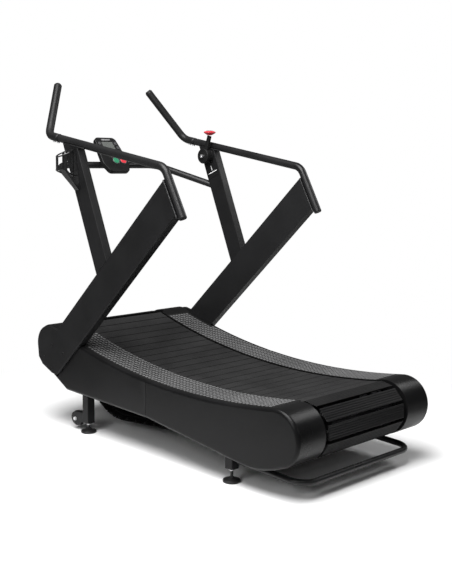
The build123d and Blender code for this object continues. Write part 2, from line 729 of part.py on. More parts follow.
# ================================================================ rails
def build_handrail_right():
    points = (*RAIL_TAIL_POINTS, (RAIL_X, RAIL_STOP_Y, rail_z(RAIL_STOP_Y)))
    return swept_tube(points, RAIL_BEND_RADIUS, RAIL_RADIUS, bore=HANDLE_RADIUS + FIT)


def build_push_handle_right():
    points = ((RAIL_X, HANDLE_START_Y, rail_z(HANDLE_START_Y)), (RAIL_X, *RAIL_CORNER),
              HANDLE_TIP)
    return swept_tube(points, 58, HANDLE_RADIUS, bore=HANDLE_RADIUS - 2.5)


def build_tube_plugs():
    """Plugs that close the tube ends: two handle tips and two rail tails."""
    tip_direction = (Vector(*HANDLE_TIP) - Vector(RAIL_X, *RAIL_CORNER)).normalized()
    tail_direction = Vector(0, -cos(TAIL_SLOPE), -sin(TAIL_SLOPE))
    # end point, outward direction, cap radius, cap taper, core radius
    ends = (
        (Vector(*HANDLE_TIP), tip_direction, HANDLE_RADIUS, 20, HANDLE_RADIUS - 2.6),
        (Vector(RAIL_X, *RAIL_END), tail_direction, RAIL_RADIUS, 15, HANDLE_RADIUS - 0.1),
    )
    with BuildPart() as plugs:
        for side in SIDES:
            for end, outward, cap_radius, cap_taper, core_radius in ends:
                end_plane = Plane(origin=(side * end.X, end.Y, end.Z),
                                  z_dir=(side * outward.X, outward.Y, outward.Z))
                with BuildSketch(end_plane):
                    Circle(cap_radius)
                extrude(amount=4, taper=cap_taper)
                with BuildSketch(end_plane):
                    Circle(core_radius)
                extrude(amount=-14)
    return plugs.part


def build_handle_bolts():
    """Washers and hexagon heads under the push handles."""
    washer_thickness = 1.2
    reach = HANDLE_RADIUS + FIT
    with BuildPart() as bolts:
        for side in SIDES:
            for y in (612.0, 640.0):
                under = Plane(origin=(side * RAIL_X, y + sin(RAIL_SLOPE) * reach,
                                      rail_z(y) - cos(RAIL_SLOPE) * reach),
                              x_dir=(1, 0, 0), z_dir=(0, sin(RAIL_SLOPE), -cos(RAIL_SLOPE)))
                with BuildSketch(under):
                    Circle(8.5)
                extrude(amount=washer_thickness)
                with BuildSketch(under.offset(washer_thickness)):
                    RegularPolygon(7.5, 6)
                extrude(amount=6)
    return bolts.part


def build_crossbar():
    """U-shaped bar that carries the console; its ends butt on the fronts of the uprights."""
    across = Vector(-1, 0, 0)
    corner = Vector(*BAR_BEND)
    side_run = (corner - Vector(*BAR_END)).normalized()
    turn = radians(side_run.get_angle(across))
    setback = BAR_BEND_RADIUS * tan(turn / 2)
    start = Vector(*BAR_END) - side_run * 40      # inside the upright, trimmed below
    bend_in = corner - side_run * setback
    bend_out = corner + across * setback
    inward = (across - side_run).normalized()
    bend_mid = corner + inward * (BAR_BEND_RADIUS / cos(turn / 2) - BAR_BEND_RADIUS)

    def left(point):
        return (-point.X, point.Y, point.Z)

    with BuildPart() as crossbar:
        with BuildLine() as bar_path:
            Line(start, bend_in)
            ThreePointArc(bend_in, bend_mid, bend_out)
            Line(bend_out, left(bend_out))
            ThreePointArc(left(bend_out), left(bend_mid), left(bend_in))
            Line(left(bend_in), left(start))
        with BuildSketch(Plane(origin=start, x_dir=(0, -side_run.Z, side_run.Y),
                               z_dir=side_run)):
            Circle(BAR_RADIUS)
        sweep(path=bar_path.line)
        # trim just clear of the front faces of the uprights
        trim = UPRIGHT_FRONT + 0.1
        with BuildSketch(Plane.YZ.offset(-460)):
            add(polygon_face(upright_point(-140, 1080), upright_point(trim, 1080),
                             upright_point(trim, 1340), upright_point(-140, 1340)))
        extrude(amount=920, mode=Mode.SUBTRACT)
    return crossbar.part


# ================================================================ covers
COVER_TOP_RADIUS = DECK_RADIUS - COVER_RISE
CAP_REAR_RADIUS = REAR_RADIUS + COVER_RISE
CAP_FRONT_RADIUS = FRONT_RADIUS + COVER_RISE
UNDERSIDE_Z = 171.5                # cover underside at the seam
HOLLOW_INSET = SKIN + PAD_THICKNESS + 0.5


def deck_angle(radius, y):
    """Polar angle about the deck centre of the point at y on a radius."""
    return degrees(asin((y - DECK_CENTRE[0]) / radius)) - 90


PAD_ANGLE_REAR = deck_angle(DECK_RADIUS, PAD_REAR_Y)
PAD_ANGLE_FRONT = deck_angle(DECK_RADIUS, PAD_FRONT_Y)


def cover_top_points(radius, seam_y, tangent_angle):
    """Start, middle and end of the cover's top arc, from the seam outwards."""
    seam_angle = deck_angle(radius, seam_y)
    return [polar(DECK_CENTRE, radius, angle)
            for angle in (seam_angle, (seam_angle + tangent_angle) / 2, tangent_angle)]


def rear_outline(inset):
    """Side outline of the rear cover; an inset one runs past the seam to open that end."""
    cap_radius = CAP_REAR_RADIUS - inset
    seam_y = SEAM_Y - SEAM_HALF_GAP + (2 if inset else 0)
    tangent_angle = HEADING_REAR - 90
    cap_end = 248
    with BuildSketch() as outline:
        with BuildLine():
            top = ThreePointArc(*cover_top_points(COVER_TOP_RADIUS + inset, seam_y,
                                                  tangent_angle))
            cap = ThreePointArc(
                top @ 1, polar(REAR_CENTRE, cap_radius, (tangent_angle + 180 + cap_end) / 2),
                polar(REAR_CENTRE, cap_radius, cap_end))
            sweep_under = Spline(cap @ 1, (-640.0, 105.5 + inset), (-540.0, 102.0 + inset),
                                 tangents=(cap % 1, (1.0, 0.125)))
            underside = Line(sweep_under @ 1, (seam_y, UNDERSIDE_Z + inset))
            Line(underside @ 1, top @ 0)
        make_face()
    return outline.sketch


def front_outline(inset):
    """Side outline of the front cover; an inset one runs past the seam to open that end."""
    cap_radius = CAP_FRONT_RADIUS - inset
    seam_y = SEAM_Y + SEAM_HALF_GAP - (2 if inset else 0)
    tangent_angle = HEADING_FRONT - 90
    cap_end = -3
    with BuildSketch() as outline:
        with BuildLine():
            top = ThreePointArc(*cover_top_points(COVER_TOP_RADIUS + inset, seam_y,
                                                  tangent_angle))
            cap = ThreePointArc(
                top @ 1, polar(FRONT_CENTRE, cap_radius, (tangent_angle + 180 + cap_end) / 2),
                polar(FRONT_CENTRE, cap_radius, cap_end))
            underside = FilletPolyline(
                cap @ 1, (778.5 - inset, 306.0), (566.0 - 0.4 * inset, 188.0 + inset),
                (seam_y, UNDERSIDE_Z + inset), radius=24)
            Line(underside @ 1, top @ 0)
        make_face()
    return outline.sketch


def build_arm_clearance():
    """Space the arm takes out of the front cover and the foot pad."""
    with BuildPart() as clearance:
        with BuildSketch(Plane.YZ.offset(ARM_X0 - 1)):
            add(polygon_face(arm_point(ARM_UPPER + 1, -40), arm_point(ARM_UPPER + 1, 190),
                             arm_point(ARM_LOWER - 1, 300), arm_point(ARM_LOWER - 1, -40)))
        extrude(amount=60)
        with BuildSketch(Plane.YZ.offset(NOSE_X0 - 1)):
            add(nose_face(NOSE_RADIUS + 1, (92, -14),
                          ((608, 462), (556, 402), arm_point(ARM_LOWER - 1, 262),
                           (653, 254.5), (728, 286), (758, 318))))
        extrude(amount=40)
    return clearance.part


ARM_CLEARANCE = build_arm_clearance()


def build_cover_right(outline, shaft_centre, cap_zone, wall_cut, rounded_edges,
                      underside_cut, recess_angles, clearance=None):
    """Right-hand cover shell.  cap_zone and wall_cut are rectangles: centre, size."""
    with BuildPart() as cover:
        with BuildSketch(Plane.YZ.offset(COVER_X0)):
            add(outline(0))
        extrude(amount=COVER_X1 - COVER_X0)
        # hollow
        with BuildSketch(Plane.YZ.offset(COVER_X0 - 1)):
            add(outline(HOLLOW_INSET))
        extrude(amount=COVER_X1 - SKIN - COVER_X0 + 1, mode=Mode.SUBTRACT)
        # the roller cap starts outside the slats and has its own inner wall
        with BuildSketch(Plane.YZ.offset(COVER_X0 - 1)):
            with Locations(cap_zone[0]):
                Rectangle(*cap_zone[1])
        extrude(amount=CAP_X0 - COVER_X0 + 1, mode=Mode.SUBTRACT)
        with BuildSketch(Plane.YZ.offset(CAP_X0)):
            add(outline(SKIN))
            with Locations(wall_cut[0]):
                Rectangle(*wall_cut[1], mode=Mode.SUBTRACT)
            with Locations(shaft_centre):
                Circle(30, mode=Mode.SUBTRACT)
        extrude(amount=3)
        fillet(cover.faces().sort_by(Axis.X)[-1].edges().filter_by(rounded_edges), 15)
        # only a narrow lip is left along the underside
        with BuildSketch(Plane.YZ.offset(COVER_X0 - 1)):
            add(polygon_face(*underside_cut))
        extrude(amount=LIP_X - COVER_X0 + 1, mode=Mode.SUBTRACT)
        # recess for the foot pad
        with BuildSketch(Plane.YZ.offset(COVER_X0 - 1)):
            add(arc_band(DECK_CENTRE, COVER_TOP_RADIUS - 5,
                         COVER_TOP_RADIUS + PAD_THICKNESS + 0.1, *recess_angles))
        extrude(amount=PAD_X1 + 0.4 - COVER_X0 + 1, mode=Mode.SUBTRACT)
        if clearance is not None:
            add(clearance, mode=Mode.SUBTRACT)
    return cover.part


def build_cover_rear_right():
    return build_cover_right(
        outline=rear_outline,
        shaft_centre=REAR_CENTRE,
        cap_zone=((-780, 250), (200, 400)),
        wall_cut=((-320, 250), (720, 500)),
        rounded_edges=GeomType.CIRCLE,
        underside_cut=((-670, 60), (60, 60), (60, 200), (-560, 150), (-670, 150)),
        recess_angles=(PAD_ANGLE_REAR - 0.02, -80),
    )


def build_cover_front_right():
    return build_cover_right(
        outline=front_outline,
        shaft_centre=FRONT_CENTRE,
        cap_zone=((780, 400), (240, 500)),
        wall_cut=((300, 300), (700, 500)),
        rounded_edges=lambda edge: edge.center().Z > 345,
        underside_cut=((-40, 100), (620, 100), (650, 200), (650, 262), (560, 225), (-40, 215)),
        recess_angles=(-100, PAD_ANGLE_FRONT + 0.02),
        clearance=ARM_CLEARANCE,
    )


def build_foot_pad_right():
    with BuildPart() as pad:
        with BuildSketch(Plane.YZ.offset(PAD_X0)):
            add(arc_band(DECK_CENTRE, COVER_TOP_RADIUS, COVER_TOP_RADIUS + PAD_THICKNESS,
                         PAD_ANGLE_REAR, PAD_ANGLE_FRONT))
        extrude(amount=PAD_X1 - PAD_X0)
        curved_faces = pad.faces().sort_by(Axis.Z, reverse=True).filter_by(GeomType.CYLINDER)
        chamfer(curved_faces[0].edges().filter_by(GeomType.CIRCLE), 1.0)
        add(ARM_CLEARANCE, mode=Mode.SUBTRACT)
    return pad.part


def build_cover_screws():
    """Four socket head screws through each arm base."""
    head_height, socket_depth, shank_length = 2.5, 1.8, 17
    with BuildPart() as screws:
        for side in SIDES:
            for y, z in ARM_SCREWS:
                seat = Plane(origin=(side * ARM_X1, y, z), x_dir=(0, 1, 0), z_dir=(side, 0, 0))
                with BuildSketch(seat):
                    Circle(7)
                extrude(amount=head_height, taper=22)
                with BuildSketch(seat.offset(head_height)):
                    RegularPolygon(2.9, 6)
                extrude(amount=-socket_depth, mode=Mode.SUBTRACT)
                with BuildSketch(seat):
                    Circle(4)
                extrude(amount=-shank_length)
    return screws.part


# ================================================================ console
# places on the console face: x to the right, y up the face
GREEN_BUTTON = (2.0, -35.0)
RED_BUTTON = (46.0, -35.0)
KEYS = {"console_key_a": (-48.0, 68.0), "console_key_b": (-52.0, 43.0),
        "console_key_c": (48.0, 68.0), "console_key_d": (52.0, 43.0)}
SCREEN_CENTRE = (0.0, 52.0)
SCREEN_WIDTH, SCREEN_HEIGHT = 66.0, 52.0
BUTTON_RADIUS = 16.0
KEY_WIDTH, KEY_HEIGHT, KEY_CORNER = 14.0, 17.0, 3.0


def console_section_point(depth, down):
    """Side-view point behind the console face and down it from its centre."""
    _, normal_y, normal_z = CONSOLE_NORMAL
    return (CONSOLE_CENTRE[1] - normal_y * depth - normal_z * down,
            CONSOLE_CENTRE[2] - normal_z * depth + normal_y * down)


def build_console_body():
    bar_y, bar_z = BAR_BEND[1:]
    bar_bore = BAR_RADIUS + 0.1
    saddle_width = 48
    saddle_reach = 20
    reach_y = CONSOLE_NORMAL[2] * saddle_reach
    reach_z = -CONSOLE_NORMAL[1] * saddle_reach
    with BuildPart() as body:
        with BuildSketch(CONSOLE_PLANE) as outline:
            with BuildLine():
                Polyline((-62, 106), (-81, -46), (-57, -99), (57, -99), (81, -46), (62, 106),
                         close=True)
            make_face()
            fillet(outline.vertices().filter_by(lambda v: v.Z > 1220), 15)
            fillet(outline.vertices().filter_by(lambda v: v.Z < 1190), 24)
        extrude(amount=-26)
        fillet(body.faces().sort_by(CONSOLE_AXIS)[-1].edges(), 5)
        fillet(body.faces().sort_by(CONSOLE_AXIS)[0].edges(), 9)
        # recess of the screen window
        with BuildSketch(CONSOLE_PLANE):
            with Locations(SCREEN_CENTRE):
                RectangleRounded(SCREEN_WIDTH + 0.4, SCREEN_HEIGHT + 0.4, 3.2)
        extrude(amount=-3, mode=Mode.SUBTRACT)
        # shallow groove across the face
        with BuildSketch(CONSOLE_PLANE):
            with Locations((0, 12)):
                Rectangle(136, 2.4)
        extrude(amount=-1.2, mode=Mode.SUBTRACT)
        # wells of the buttons and keys
        with BuildSketch(CONSOLE_PLANE):
            with Locations(GREEN_BUTTON, RED_BUTTON):
                Circle(BUTTON_RADIUS + 0.08)
            with Locations(*KEYS.values()):
                RectangleRounded(KEY_WIDTH + 0.4, KEY_HEIGHT + 0.4, KEY_CORNER + 0.2)
        extrude(amount=-9, mode=Mode.SUBTRACT)
        # moulded saddle and strap round the crossbar
        with BuildSketch(Plane.YZ.offset(-saddle_width / 2)):
            with Locations((bar_y, bar_z)):
                Circle(21)
                Circle(bar_bore, mode=Mode.SUBTRACT)
            add(polygon_face(console_section_point(24, 4), console_section_point(24, 50),
                             (bar_y - reach_y + 2, bar_z - reach_z),
                             (bar_y + reach_y - 12, bar_z + reach_z + 4)))
            with Locations((bar_y, bar_z)):
                Circle(bar_bore, mode=Mode.SUBTRACT)
        extrude(amount=saddle_width)
    return body.part


def build_console_screen():
    with BuildPart() as screen:
        with BuildSketch(CONSOLE_PLANE.offset(-2.9)):
            with Locations(SCREEN_CENTRE):
                RectangleRounded(SCREEN_WIDTH, SCREEN_HEIGHT, 3)
        extrude(amount=2.6)
    return screen.part


def build_button(centre):
    with BuildPart() as button:
        with BuildSketch(CONSOLE_PLANE.offset(-5)):
            with Locations(centre):
                Circle(BUTTON_RADIUS)
        extrude(amount=8)
        fillet(button.faces().sort_by(CONSOLE_AXIS)[-1].edges(), 2)
    return button.part


def build_key(centre):
    with BuildPart() as key:
        with BuildSketch(CONSOLE_PLANE.offset(-6)):
            with Locations(centre):
                RectangleRounded(KEY_WIDTH, KEY_HEIGHT, KEY_CORNER)
        extrude(amount=7.5)
        fillet(key.faces().sort_by(CONSOLE_AXIS)[-1].edges(), 1)
    return key.part


# ================================================================ resistance lever
# on the inner face of the right upright
LEVER_PIVOT = (488.0, 1250.0)
LEVER_TOP = (455.0, 1351.0)
LEVER_X = 367.0                    # middle of the lever's stick
LEVER_RISE = (LEVER_TOP[0] - LEVER_PIVOT[0], LEVER_TOP[1] - LEVER_PIVOT[1])
LEVER_BASE_THICKNESS = 8.0
SCALE_PLACE = Location((459, 1184, 0), (0, 0, UPRIGHT_ANGLE - 90))


def build_lever_base():
    with BuildPart() as base:
        with BuildSketch(Plane.YZ.offset(ARM_X0 - LEVER_BASE_THICKNESS)):
            with Locations(LEVER_PIVOT):
                Circle(37)
                Circle(5.1, mode=Mode.SUBTRACT)
        extrude(amount=LEVER_BASE_THICKNESS)
        chamfer(base.faces().sort_by(Axis.X)[0].edges().filter_by(
            lambda edge: edge.length > 100), 1.5)
    return base.part


def build_lever_arm():
    """Round boss on the pivot with a tapered stick up to the knob."""
    with BuildPart() as lever:
        with BuildSketch(Plane.YZ.offset(352)):
            with Locations(LEVER_PIVOT):
                Circle(36.5)
        extrude(amount=31.7)
        fillet(lever.faces().sort_by(Axis.X)[0].edges(), 4)
        with BuildSketch(Plane(origin=(LEVER_X, *LEVER_PIVOT), x_dir=(1, 0, 0),
                               z_dir=(0, *LEVER_RISE))):
            RectangleRounded(17, 23, 6)
        extrude(amount=hypot(*LEVER_RISE) - 4.2, taper=0.6)
        with BuildSketch(Plane.YZ.offset(345)):
            with Locations(LEVER_PIVOT):
                Circle(5.08)
        extrude(amount=60, mode=Mode.SUBTRACT)
    return lever.part


def build_lever_knob():
    """Mushroom knob turned about a vertical axis."""
    centre = (LEVER_X, *LEVER_TOP)
    with BuildPart() as knob:
        # half section: distance from the axis, height
        with BuildSketch(Plane(origin=centre, x_dir=(0, 1, 0), z_dir=(1, 0, 0))):
            with BuildLine():
                Polyline((0, 0), (10, 0), (18, 4.5), (28, 11))
                Spline((28, 11), (29.2, 13.5), (24, 18.2), (12, 21.2), (0, 22),
                       tangents=((0.3, 1), (-1, 0)))
                Line((0, 22), (0, 0))
            make_face()
        revolve(axis=Axis(centre, (0, 0, 1)))
    return knob.part


def build_lever_bolt():
    """Bolt with a hexagon socket in its head."""
    head_radius = 9
    with BuildPart() as bolt:
        with BuildSketch(Plane.YZ.offset(344)):
            with Locations(LEVER_PIVOT):
                Circle(head_radius)
                RegularPolygon(4.6, 6, mode=Mode.SUBTRACT)
        extrude(amount=6)
        with BuildSketch(Plane.YZ.offset(348)):
            with Locations(LEVER_PIVOT):
                Circle(head_radius)
        extrude(amount=3.6)
        with BuildSketch(Plane.YZ.offset(350)):
            with Locations(LEVER_PIVOT):
                Circle(5)
        extrude(amount=41.8)
    return bolt.part


def build_level_scale():
    """Raised level marks on a thin plate below the lever."""
    with BuildPart() as scale:
        with BuildSketch(Plane.YZ.offset(ARM_X0 - 1.2)):
            with Locations(SCALE_PLACE):
                with Locations((0, -3)):
                    RectangleRounded(70, 66, 4)
        extrude(amount=1.0)
        with BuildSketch(Plane.YZ.offset(ARM_X0 - 1.8)):
            with Locations(SCALE_PLACE):
                with Locations((0, -12)):
                    Rectangle(62, 4.5)
                with Locations((0, 9)):
                    Rectangle(4.5, 26)
        extrude(amount=0.7)
    return scale.part


# ================================================================ cup holder
CUP_X, CUP_Y = -474.0, 483.0
CUP_RADIUS = 38.0                  # centre line of the loops
CUP_ROD_RADIUS = 3.0
# height at the centre, rise per mm outward, rise per mm forward
UPPER_LOOP = (1256.0, -0.45, -0.125)
LOWER_LOOP = (1172.6, 0.35, 0.05)


def loop_z(loop, outward, forward):
    return loop[0] + loop[1] * outward + loop[2] * forward


def build_cup_holder():
    """Cage outside the left upright: back plate, two tilted loops, straps and tongue."""
    with BuildPart() as holder:
        with BuildSketch(Plane.YZ.offset(-ARM_X1 - 4.1)) as back_plate:
            with BuildLine():
                Polyline((461, 1280), (505, 1280), (469, 1098), (427, 1098), close=True)
            make_face()
            fillet(back_plate.vertices(), 7)
        extrude(amount=4)
        for height, out_rise, forward_rise in (UPPER_LOOP, LOWER_LOOP):
            with Locations(Plane(origin=(CUP_X, CUP_Y, height), x_dir=(-1, 0, out_rise),
                                 z_dir=(out_rise, -forward_rise, 1))):
                Torus(CUP_RADIUS, CUP_ROD_RADIUS)
        # straps between the loops, by angle from the outward direction
        for turn in (0, 62, -62, 118, -118):
            outward = CUP_RADIUS * cos(radians(turn))
            forward = CUP_RADIUS * sin(radians(turn))
            bottom = loop_z(LOWER_LOOP, outward, forward)
            top = loop_z(UPPER_LOOP, outward, forward)
            with BuildSketch(Plane.XY.offset(bottom)):
                with Locations(Location((CUP_X - outward, CUP_Y + forward, 0), (0, 0, -turn))):
                    Rectangle(2.6, 11)
            extrude(amount=top - bottom)
        # tongue from the outer side of the lower loop down to the back plate
        loop_outer_x = CUP_X - CUP_RADIUS
        with BuildSketch(Plane.XZ.offset(-CUP_Y + 20)):
            with BuildLine():
                Polyline((loop_outer_x - 1.5, 1186.5), (loop_outer_x + 1.5, 1188.5),
                         (-ARM_X1 - 2.5, 1104), (-ARM_X1 - 2.5, 1099), (-ARM_X1 - 6, 1099),
                         close=True)
            make_face()
        extrude(amount=32)
    return holder.part


# ================================================================ wheels and feet
WHEEL_X0, WHEEL_WIDTH = LEG_X0 + 8, 24
DISH_DEPTH = 4                     # ring-shaped recess in each wheel face


def build_wheel_right():
    with BuildPart() as wheel:
        with BuildSketch(Plane.YZ.offset(WHEEL_X0)):
            with Locations(WHEEL_CENTRE):
                Circle(WHEEL_RADIUS)
                Circle(5.08, mode=Mode.SUBTRACT)
        extrude(amount=WHEEL_WIDTH)
        fillet(wheel.edges().filter_by(GeomType.CIRCLE).filter_by(
            lambda edge: edge.radius > 30), 5)
        for x in (WHEEL_X0, WHEEL_X0 + WHEEL_WIDTH - DISH_DEPTH):
            with BuildSketch(Plane.YZ.offset(x)):
                with Locations(WHEEL_CENTRE):
                    Circle(26)
                    Circle(12, mode=Mode.SUBTRACT)
            extrude(amount=DISH_DEPTH, mode=Mode.SUBTRACT)
    return wheel.part


def build_wheel_bolts():
    """Axle bolts, tapered head outside and hexagon nut inside the fork."""
    with BuildPart() as bolts:
        for side in SIDES:
            seat = Plane(origin=(side * (LEG_X0 + 38), *WHEEL_CENTRE), x_dir=(0, 1, 0),
                         z_dir=(side, 0, 0))
            with BuildSketch(seat):
                Circle(9)
            extrude(amount=6, taper=12)
            with BuildSketch(seat):
                Circle(5)
            extrude(amount=-44)
            with BuildSketch(seat.offset(-36.1)):
                RegularPolygon(8.5, 6)
            extrude(amount=-7)
    return bolts.part


def build_foot(x, y, top):
    """Levelling foot: rubber base, domed plate and stud."""
    with BuildPart() as foot:
        # half section: distance from the axis, height
        with BuildSketch(Plane(origin=(x, y, 0), x_dir=(1, 0, 0), z_dir=(0, -1, 0))):
            with BuildLine():
                Polyline((0, 0), (FOOT_RADIUS - 1.5, 0), (FOOT_RADIUS, 1.5), (FOOT_RADIUS, 8),
                         (FOOT_RADIUS - 2.5, 11), (18, 15), (11, 20), (6, 20), (6, top - 1),
                         (5, top), (0, top), close=True)
            make_face()
        revolve(axis=Axis((x, y, 0), (0, 0, 1)))
    return foot.part


def build_lock_nuts():
    """Hexagon nuts on the foot studs, just under the legs."""
    thickness = 8
    with BuildPart() as nuts:
        for side in SIDES:
            for y, leg_bottom in ((LEG_Y_FRONT, FRONT_LEG_BOTTOM),
                                  (LEG_Y_REAR, REAR_LEG_BOTTOM)):
                with BuildSketch(Plane.XY.offset(leg_bottom - thickness - 0.1)):
                    with Locations((side * LEG_X, y)):
                        RegularPolygon(11, 6)
                        Circle(STUD_HOLE_RADIUS, mode=Mode.SUBTRACT)
                extrude(amount=thickness)
    return nuts.part


STUD_RISE = 47.0                   # stud top above the leg bottom
FRONT_STUD_TOP = FRONT_LEG_BOTTOM + STUD_RISE
REAR_STUD_TOP = REAR_LEG_BOTTOM + STUD_RISE

# ================================================================ assembly and export
parts = {name: build_belt_section(*section) for name, section in BELT_SECTIONS.items()}
parts |= {
    "front_shaft": build_shaft(FRONT_CENTRE, right_end=368, pitch_radius=PITCH_FRONT,
                               hole_circle=43, hole_radius=11, hub_radius=27),
    "rear_shaft": build_shaft(REAR_CENTRE, right_end=SHAFT_END, pitch_radius=PITCH_REAR,
                              hole_circle=55, hole_radius=16, hub_radius=30),
    "shaft_bearings": build_shaft_bearings(),
    "brake_disc": build_brake_disc(),
    "magnet_yoke": build_magnet_yoke(),
    "side_frame_right": build_side_frame(1),
    "side_frame_left": build_side_frame(-1),
    "cross_members": build_cross_members(),
    "front_legs": build_legs(LEG_Y_FRONT, FRONT_LEG_BOTTOM, FRONT_LEG_TOP, wheel_forks=True),
    "rear_legs": build_legs(LEG_Y_REAR, REAR_LEG_BOTTOM, REAR_LEG_TOP, wheel_forks=False),
    "deck_rails": build_deck_rails(),
    "deck_bearings": build_deck_bearings(),
    "bearing_bolts": build_bearing_bolts(),
    "lift_handle": build_lift_handle(),
    "tube_plugs": build_tube_plugs(),
    "handle_bolts": build_handle_bolts(),
    "crossbar": build_crossbar(),
    "cover_screws": build_cover_screws(),
    "console_body": build_console_body(),
    "console_screen": build_console_screen(),
    "green_button": build_button(GREEN_BUTTON),
    "red_button": build_button(RED_BUTTON),
    "lever_base": build_lever_base(),
    "lever_arm": build_lever_arm(),
    "lever_knob": build_lever_knob(),
    "lever_bolt": build_lever_bolt(),
    "level_scale": build_level_scale(),
    "cup_holder": build_cup_holder(),
    "wheel_bolts": build_wheel_bolts(),
    "foot_front_right": build_foot(LEG_X, LEG_Y_FRONT, FRONT_STUD_TOP),
    "foot_front_left": build_foot(-LEG_X, LEG_Y_FRONT, FRONT_STUD_TOP),
    "foot_rear_right": build_foot(LEG_X, LEG_Y_REAR, REAR_STUD_TOP),
    "foot_rear_left": build_foot(-LEG_X, LEG_Y_REAR, REAR_STUD_TOP),
    "lock_nuts": build_lock_nuts(),
}
parts |= {name: build_key(centre) for name, centre in KEYS.items()}

# built on the right and mirrored to the left
MIRRORED_PAIRS = {
    "arm": build_arm_right,
    "upright": build_upright_right,
    "handrail": build_handrail_right,
    "push_handle": build_push_handle_right,
    "cover_rear": build_cover_rear_right,
    "cover_front": build_cover_front_right,
    "foot_pad": build_foot_pad_right,
    "wheel": build_wheel_right,
}
for name, build_right in MIRRORED_PAIRS.items():
    right_part = build_right()
    parts[name + "_right"] = right_part
    parts[name + "_left"] = mirrored(right_part)

for name, part in parts.items():
    part.label = name
    export_step(part, "parts/" + name + ".step")
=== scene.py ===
"""Curved slat treadmill: finishes and small details added to its CAD pieces.

+Y is the front, +X the right-hand side and +Z up; the floor is z = 0. The walking deck is a
hollow arc in the YZ plane. Sizes are in mm unless noted and become metres through MM.
"""
import json
import math
import random

import bmesh
import bpy
from mathutils import Matrix, Vector


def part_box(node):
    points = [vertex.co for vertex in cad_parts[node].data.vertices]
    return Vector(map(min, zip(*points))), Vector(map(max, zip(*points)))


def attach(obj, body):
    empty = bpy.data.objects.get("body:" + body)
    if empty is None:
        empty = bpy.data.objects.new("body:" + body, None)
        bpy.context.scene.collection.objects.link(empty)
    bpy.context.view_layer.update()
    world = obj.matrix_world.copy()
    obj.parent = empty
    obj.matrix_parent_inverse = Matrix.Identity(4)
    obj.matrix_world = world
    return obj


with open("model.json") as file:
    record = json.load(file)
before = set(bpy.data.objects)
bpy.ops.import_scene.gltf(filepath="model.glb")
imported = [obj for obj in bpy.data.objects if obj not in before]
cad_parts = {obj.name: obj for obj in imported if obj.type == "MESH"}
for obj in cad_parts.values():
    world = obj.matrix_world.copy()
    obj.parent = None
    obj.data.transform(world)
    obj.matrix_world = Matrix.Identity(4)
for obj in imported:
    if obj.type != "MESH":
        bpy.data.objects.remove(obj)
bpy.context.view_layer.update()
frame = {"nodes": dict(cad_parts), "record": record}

random.seed(7)  # fixes the shared generator; the tubes below use their own

MM = 0.001
X_AXIS = Vector((1, 0, 0))
SIDES = ((1, "right"), (-1, "left"))

# Walking curve: centres as (y, z)
DECK_CENTRE = (-257.0, 3320.0)
REAR_CENTRE = (-707.0, 243.74)
PAD_TOP_RADIUS = 2996.0
SLAT_RADIUS = 3017.0
SLAT_PITCH = 60.1297

# Rail tube: centre x on the right side, then its corner, bend and lower end as (y, z)
RAIL_X = 412.0
RAIL_CORNER = (684.0, 1333.0)
RAIL_BEND = (-90.0, 1209.5)
RAIL_END = (-198.0, 1015.4)


def slope(low, high):
    """Angle in the YZ plane of the line from one (y, z) point to another."""
    return math.atan2(high[1] - low[1], high[0] - low[0])


RAIL_SLOPE = slope(RAIL_BEND, RAIL_CORNER)
DROP_SLOPE = slope(RAIL_END, RAIL_BEND)
UPRIGHT_SLOPE = 67.2  # degrees

scene = bpy.context.scene
scene.view_settings.view_transform = "Standard"
scene.view_settings.look = "None"


# ------------------------------------------------------------------ shader graphs
class Graph:
    """Short calls for adding shader nodes. An input is a value or another node's output."""

    def __init__(self, tree):
        self.tree = tree

    def wire(self, node, inputs):
        for key, value in inputs.items():
            if isinstance(value, bpy.types.NodeSocket):
                self.tree.links.new(value, node.inputs[key])
            else:
                node.inputs[key].default_value = value

    def add(self, kind, inputs=None, **settings):
        node = self.tree.nodes.new("ShaderNode" + kind)
        for key, value in settings.items():
            setattr(node, key, value)
        self.wire(node, inputs or {})
        return node

    def math(self, operation, *values):
        return self.add("Math", dict(enumerate(values)), operation=operation).outputs[0]

    def remap(self, value, source=(0, 1), target=(0, 1), **settings):
        limits = {"From Min": source[0], "From Max": source[1],
                  "To Min": target[0], "To Max": target[1]}
        return self.add("MapRange", {"Value": value, **limits}, **settings).outputs[0]

    def noise(self, vector, scale, detail):
        inputs = {"Vector": vector, "Scale": scale, "Detail": detail}
        return self.add("TexNoise", inputs).outputs["Fac"]

    def mix(self, factor, under, over):
        inputs = {"Factor": factor, 6: under, 7: over}  # 6 and 7 are the colour inputs
        return self.add("Mix", inputs, data_type="RGBA").outputs[2]

    def dim_off_camera(self, strength):
        """1 for camera rays and `strength` for all others."""
        is_camera = self.add("LightPath").outputs["Is Camera Ray"]
        return self.remap(is_camera, target=(strength, 1.0))


# ------------------------------------------------------------------ materials
def shade(colour, gain, lift=0.0):
    return tuple(min(1, channel * gain + lift) for channel in colour) + (1,)


def slat_gaps(graph, coords):
    """Mask of the margins where slats meet, by arc length round the walking curve, for painted
    shade in the gaps between slats.
    """
    deck_y, deck_z = (value * MM for value in DECK_CENTRE)
    start = math.atan2(REAR_CENTRE[0] - DECK_CENTRE[0], DECK_CENTRE[1] - REAR_CENTRE[1])
    place = graph.add("SeparateXYZ", {0: coords}).outputs
    angle = graph.math("ARCTAN2", graph.math("SUBTRACT", place["Y"], deck_y),
                       graph.math("SUBTRACT", deck_z, place["Z"]))
    slats = graph.math("MULTIPLY", graph.math("SUBTRACT", angle, start),
                       SLAT_RADIUS / SLAT_PITCH)
    across = graph.math("FRACT", slats)
    edge = graph.math("MINIMUM", across, graph.math("SUBTRACT", 1.0, across))
    return graph.remap(edge, source=(0.085, 0.055), target=(0, 0.92))


